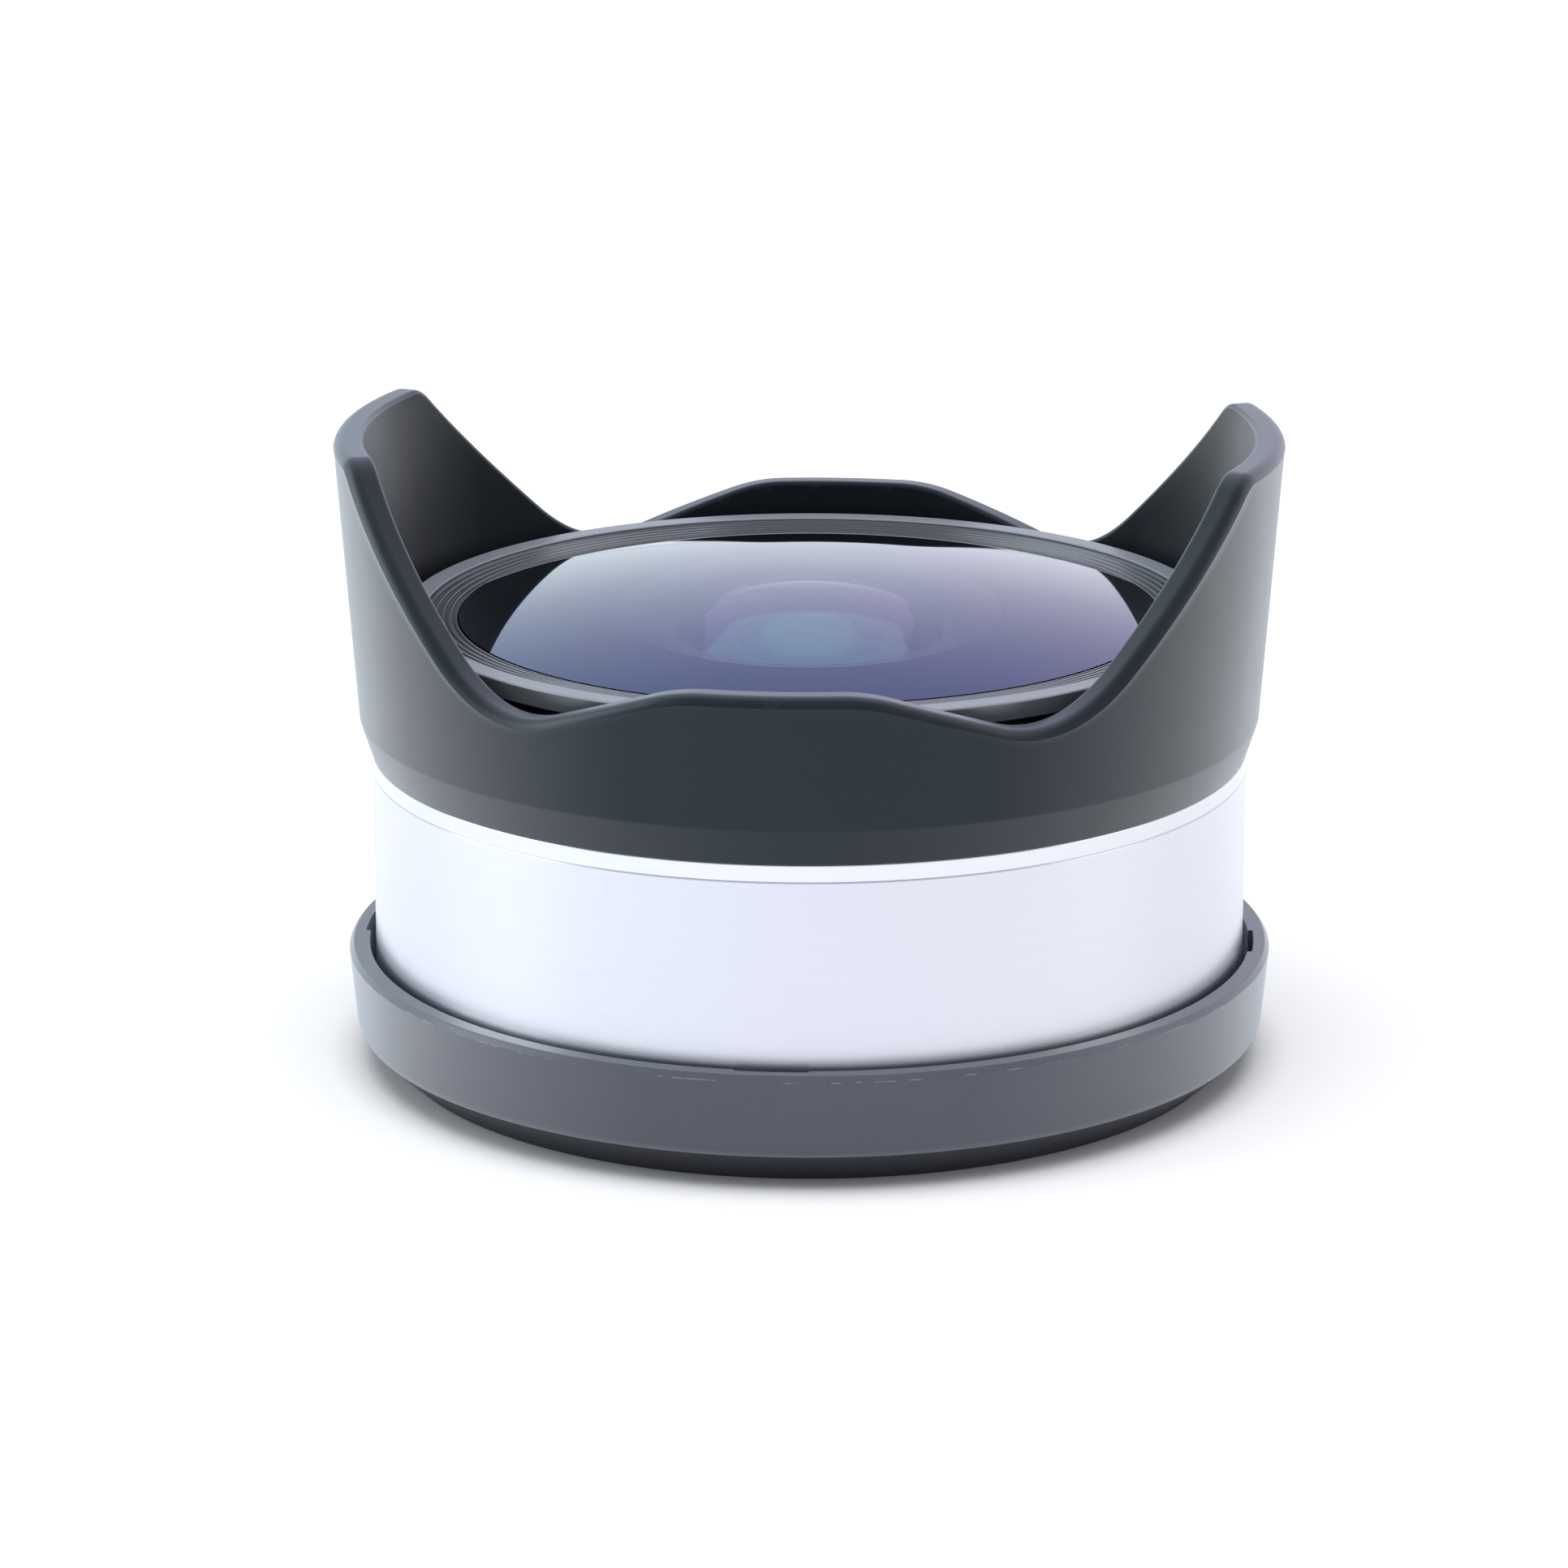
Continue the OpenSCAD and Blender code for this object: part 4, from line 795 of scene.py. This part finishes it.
def glassSolid(name, frontArc, backArc, backMark=0, rim=None, chamfer=0.12, stations=256):
    # backArc runs out from the axis, then come the edge's chamfers, and frontArc runs in again to the axis.
    # A rim (r, z) is a wider step under the front face.
    (backR, backZ), (frontR, frontZ) = backArc[-1], frontArc[-1]
    rimR, rimZ = rim or (frontR, frontZ)
    edge = [(rimR - chamfer, backZ), (rimR, backZ + chamfer), (rimR, rimZ - chamfer)]
    if rim:
        edge += [(rimR - chamfer, rimZ), (frontR, rimZ), (frontR, frontZ - chamfer)]
    land = [] if rimR - backR < 2 * chamfer else [(backR + chamfer, backZ)]
    outline = np.vstack([backArc, np.array(land + edge).reshape(-1, 2), frontArc[::-1]])
    grid = revolve(outline[1:-1], evenTurn(stations))
    index = numbered(grid)
    quads = ringQuads(index, False)
    fans = poleFans(index, index.size, index.size + 1)
    piece = putMesh(name, np.vstack([grid.reshape(-1, 3), axisPoints(outline)]), quads.reshape(-1, 4), fans,
                    sharp=20)
    # the land and the edge are painted black, the two polished faces aren't
    marks = np.zeros(quads.shape[:2], int)
    marks[:, :len(backArc) - 2] = backMark
    marks[:, len(backArc) - 2:len(outline) - len(frontArc) - 1] = 1
    markFaces(piece, np.r_[marks.ravel(), np.full(stations, backMark), np.zeros(stations, int)])
    return piece


def makeGlass():
    f = front
    domeLow, domeHigh = span("front_element")
    glassR, seatZ, domeZ = domeHigh[0], domeLow[2], domeHigh[2]
    rimZ = seatZ + f["glassEdge"]
    faceR = glassR + f["lipLap"] - f["lipW"] - f["seatGap"]
    dome = sphereArc(faceR, rimZ + f["glassStep"], domeZ, f["domeSteps"])
    bowl = sphereArc(glassR - f["bowlLand"], seatZ, domeZ - f["glassMid"], f["bowlSteps"])
    piece = glassSolid("frontElement", dome, bowl, backMark=2, rim=(glassR, rimZ), stations=f["stations"])
    dress(piece, ["coatedGlass", "edgePaint", "bowlGlass"], "lens", "front_element")


inner = dict(secondEdge=2.2, secondMid=1.15, hollowInset=2.2, thirdEdge=2.0, thirdRise=2.6, fourthRise=1.2,
             steps=40)


def makeInnerGlass():
    g, steps = inner, inner["steps"]
    secondLow, secondHigh = span("second_element")
    thirdLow, thirdHigh = span("third_element")
    fourthZ = span("fourth_element")[0][2]
    secondR, secondZ, doubletR = secondHigh[0], secondHigh[2], thirdHigh[0]
    cementZ, shoulderZ = thirdLow[2], thirdHigh[2] - g["thirdRise"]
    jointZ = shoulderZ - g["thirdEdge"]
    second = (sphereArc(secondR, secondLow[2] + g["secondEdge"], secondZ, steps),
              sphereArc(secondR - g["hollowInset"], secondLow[2], secondZ - g["secondMid"], steps))
    cemented = sphereArc(doubletR, jointZ, cementZ, steps)
    third = (sphereArc(doubletR, shoulderZ, thirdHigh[2], steps), cemented)
    fourth = (cemented, sphereArc(doubletR, fourthZ + g["fourthRise"], fourthZ, steps))
    for name, faces, finish, node in (("secondElement", second, "secondGlass", "second_element"),
                                      ("thirdElement", third, "rearGlass", "third_element"),
                                      ("fourthElement", fourth, "rearGlass", "fourth_element")):
        dress(glassSolid(name, *faces), [finish, "edgePaint"], "lens", node)


# Rear cap

cap = dict(floorT=1.8, wall=1.1, taper=0.5, bevelH=2.6, bevelW=2.9, padT=0.35, padSlots=4, padSlotW=5.0,
           slotFloorZ=5.15, slotStep=0.01, slotHair=0.0004, stepR=28.9, stepZ=3.2, footRecess=0.4,
           footRingW=4.0, rimChamferW=0.3, rimChamferH=0.4, scuffRound=0.12, rimRound=0.12, innerRound=0.1,
           edgeRound=0.9, footRound=0.3, ringRound=0.15, scuffWear=1, rimWear=0.2, rimBand=0.01,
           underBand=0.1, stations=360)


def makeCap():
    c = cap
    capHigh = span("rear_cap")[1]
    rimR, rimZ = capHigh[0], capHigh[2]
    edgeR, inR = rimR - c["taper"], rimR - c["wall"]
    footR, padR = edgeR - c["bevelW"], inR - c["padT"]
    ringR, soft = footR - c["footRingW"], c["innerRound"]
    # between the slots the pads stand flush with the rim
    corners = [
        (0, c["footRecess"], 0, 0), (ringR, c["footRecess"], soft, 0), (ringR, 0, c["ringRound"], 0),
        (footR, 0, c["footRound"], 0), (edgeR, c["bevelH"], c["edgeRound"], 0),
        (rimR, rimZ - c["rimChamferH"], c["scuffRound"], c["scuffWear"]),
        (rimR - c["rimChamferW"], rimZ, c["rimRound"], c["rimWear"]), (inR, rimZ, 0, 0),
        (padR, rimZ, soft, 0), (padR, c["slotFloorZ"], 0, 0), (padR, c["slotFloorZ"] - c["slotStep"], 0, 0),
        (padR, c["stepZ"], soft, 0), (c["stepR"], c["stepZ"], soft, 0), (c["stepR"], c["floorT"], soft, 0),
        (0, c["floorT"], 0, 0)]
    outline, worn = roundedOutline(corners, closed=False)

    # the slots between the pads: their rows step back to the wall inside each slot's two edges
    half, hair = math.asin(c["padSlotW"] / 2 / padR), c["slotHair"]
    centres = np.arange(c["padSlots"]) * 2 * np.pi / c["padSlots"]
    edges = np.add.outer(centres, [-half - hair, -half + hair, half - hair, half + hair]).ravel()
    angles = np.sort(np.r_[evenTurn(c["stations"]), edges] % (2 * np.pi))
    away = np.min(np.abs((np.subtract.outer(angles, centres) + np.pi) % (2 * np.pi) - np.pi), axis=1)
    inSlot = (away < half)[:, None]
    onPad = (outline[:, 0] < inR) & (outline[:, 1] > c["slotFloorZ"] - c["slotStep"] / 2)
    r = np.where(inSlot & onPad, inR, outline[:, 0])[:, 1:-1]
    z = np.broadcast_to(outline[:, 1], (len(angles), len(outline)))[:, 1:-1]
    points = np.vstack([roundAxis(r, z, angles).reshape(-1, 3), axisPoints(outline)])
    index = numbered(r)
    wear = np.r_[np.broadcast_to(worn[1:-1], r.shape).ravel(), 0, 0]
    piece = putMesh("rearCap", points, ringQuads(index, False).reshape(-1, 4),
                    poleFans(index, index.size, index.size + 1), wear)
    # the bevel and the foot wear a darker copy of the cap plastic, painted shade where they face down; the
    # flat of the rim wears a paler, greyer, less glossy copy, painted light on the top face
    x, y, z = faceMiddles(piece)
    shadedUnder = (z < c["bevelH"] - c["underBand"]) & (np.hypot(x, y) > c["stepR"])
    shadedUnder |= z < c["footRecess"] + c["underBand"]
    markFaces(piece, np.where(shadedUnder, 1, np.where(z > rimZ - c["rimBand"], 2, 0)))
    return dress(piece, ["capPlastic", "capUnderShaded", "capRimPaintedLight"], "cap", "rear_cap")


# Release knob: a rounded block that follows the barrel, with upright grip ribs

knob = dict(width=7.0, height=4.2, neckW=4.8, neckH=2.4, ribs=5, ribR=0.28, round=0.35, midGap=0.3, reach=1.3,
            azimuth=90.0, plateR=29.7, neckLap=0.2, footRound=0.08, endSteps=7, endShare=0.999, stations=160)


def makeKnob():
    k = knob
    knobLow, knobHigh = span("release_knob")
    midZ = (knobLow[2] + knobHigh[2]) / 2
    midR, outR = barrelR + k["midGap"], barrelR + k["reach"]

    def bar(width, height, inR, topR, ribbed):
        # section in (r, z) carried round the barrel; its ends shrink over the rounding as a quarter circle
        half = width / 2
        ends = half - k["round"] * (1 - np.sin(np.linspace(0, np.pi / 2, k["endSteps"])))
        s = np.unique(np.round(np.r_[-ends, np.linspace(-ends[0], ends[0], k["stations"]), ends], 6))
        past = np.clip((np.abs(s) - (half - k["round"])) / k["round"], 0, 1)
        shrink = k["round"] * (1 - np.sqrt(1 - past ** 2 * k["endShare"]))
        rib = np.zeros_like(s)
        if ribbed:
            centres = width * ((np.arange(k["ribs"]) + 0.5) / k["ribs"] - 0.5)
            near = np.min(np.abs(np.subtract.outer(s, centres)), axis=1)
            rib = np.sqrt(np.maximum(k["ribR"] ** 2 - near ** 2, 0))
        lowZ, highZ = midZ - height / 2, midZ + height / 2
        corners = [(inR, lowZ, k["footRound"], 0), (topR, lowZ, k["round"], 1),
                   (topR, highZ, k["round"], 1), (inR, highZ, k["footRound"], 0)]
        outline, worn = roundedOutline(corners)
        topShare = np.clip((outline[:, 0] - inR) / (topR - inR), 0, 1)
        r = outline[:, 0] + np.outer(rib - shrink, topShare)
        z = midZ + (outline[:, 1] - midZ) * (1 - 2 * shrink / height)[:, None]
        return roundAxis(r, z, np.radians(k["azimuth"]) + s / barrelR), np.broadcast_to(worn, r.shape)

    points, quads, fans, wear, base = [], [], [], [], 0
    for grid, worn in (bar(k["neckW"], k["neckH"], k["plateR"], midR + k["neckLap"], False),
                       bar(k["width"], k["height"], midR, outR, True)):
        index = base + numbered(grid)
        cols, first, last = grid.shape[1], base + index.size, base + index.size + 1
        points += [grid.reshape(-1, 3), grid[0].mean(0)[None], grid[-1].mean(0)[None]]
        quads.append(ringQuads(index, True)[:-1].reshape(-1, 4))
        fans.append(np.stack([np.full(cols, first), np.roll(index[0], -1), index[0]], axis=1)[:, ::-1])
        fans.append(np.stack([np.full(cols, last), index[-1], np.roll(index[-1], -1)], axis=1)[:, ::-1])
        wear.append(np.r_[worn.ravel(), 0, 0])
        base = last + 1
    piece = putMesh("releaseKnob", np.vstack(points), np.concatenate(quads), np.concatenate(fans),
                    np.concatenate(wear))
    return dress(piece, "satinAluminium", "slider", "release_knob")


# Lock spring: a round wire on a helix

spring = dict(coils=3.5, wire=0.28, joint="lock_pin_lift", ringsPerCoil=32, sides=12)


def makeLockSpring():
    # middle(t) = (m cos a, m sin a, low + rise t) with a = 2 pi coils t, and an upright circle of wire on it
    s = spring
    springLow, springHigh = span("lock_spring")
    centre, half, length = (springLow + springHigh) / 2, s["wire"] / 2, springHigh[2] - springLow[2]
    meanR = (springHigh[0] - springLow[0]) / 2 - half
    t = np.linspace(0, 1, int(s["coils"] * s["ringsPerCoil"]) + 1)
    turn = 2 * np.pi * s["coils"] * t
    z = springLow[2] + half + (length - s["wire"]) * t
    b = evenTurn(s["sides"])
    r = meanR + np.outer(half * np.cos(b), np.ones_like(t))
    grid = np.stack([centre[0] + r * np.cos(turn), centre[1] + r * np.sin(turn),
                     z - np.outer(half * np.sin(b), np.ones_like(t))], axis=2)
    ends = np.stack([grid[:, 0].mean(0), grid[:, -1].mean(0)])
    index = numbered(grid)
    piece = putMesh("lockSpring", np.vstack([grid.reshape(-1, 3), ends]),
                    ringQuads(index, False).reshape(-1, 4), poleFans(index, index.size, index.size + 1))
    dress(piece, "plainSteel", "lens", "lock_spring")
    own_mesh(piece)


print("making pieces")
makeHood()
makeBarrel()
makeTrimRing()
makeFrontCell()
makeRetainingRing()
makeGlass()
makeInnerGlass()
makeCap()
makeKnob()
makeLockSpring()


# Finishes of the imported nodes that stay

slotFinish = {
    "black_aluminium": "blackAluminium", "cover_plastic": "coverPlastic", "clear_glass": "rearGlass",
    "plated_brass": "platedBrass", "steel": "plainSteel", "seal_rubber": "sealRubber",
    "index_paint": "indexPaint", "satin_aluminium": "satinAluminium",
    "polished_aluminium": "polishedAluminium", "hood_plastic": "hoodPlastic", "cap_plastic": "capPlastic",
    "coated_glass": "coatedGlass",
}


def finishNodes():
    slots = {part["node"]: part["material_slot"] for part in frame["record"]["subparts"]}
    for name, node in frame["nodes"].items():
        node.data.materials.clear()
        node.data.materials.append(finishes[slotFinish[slots[name]]])
    print("finished", len(slots), "packed nodes")


finishNodes()
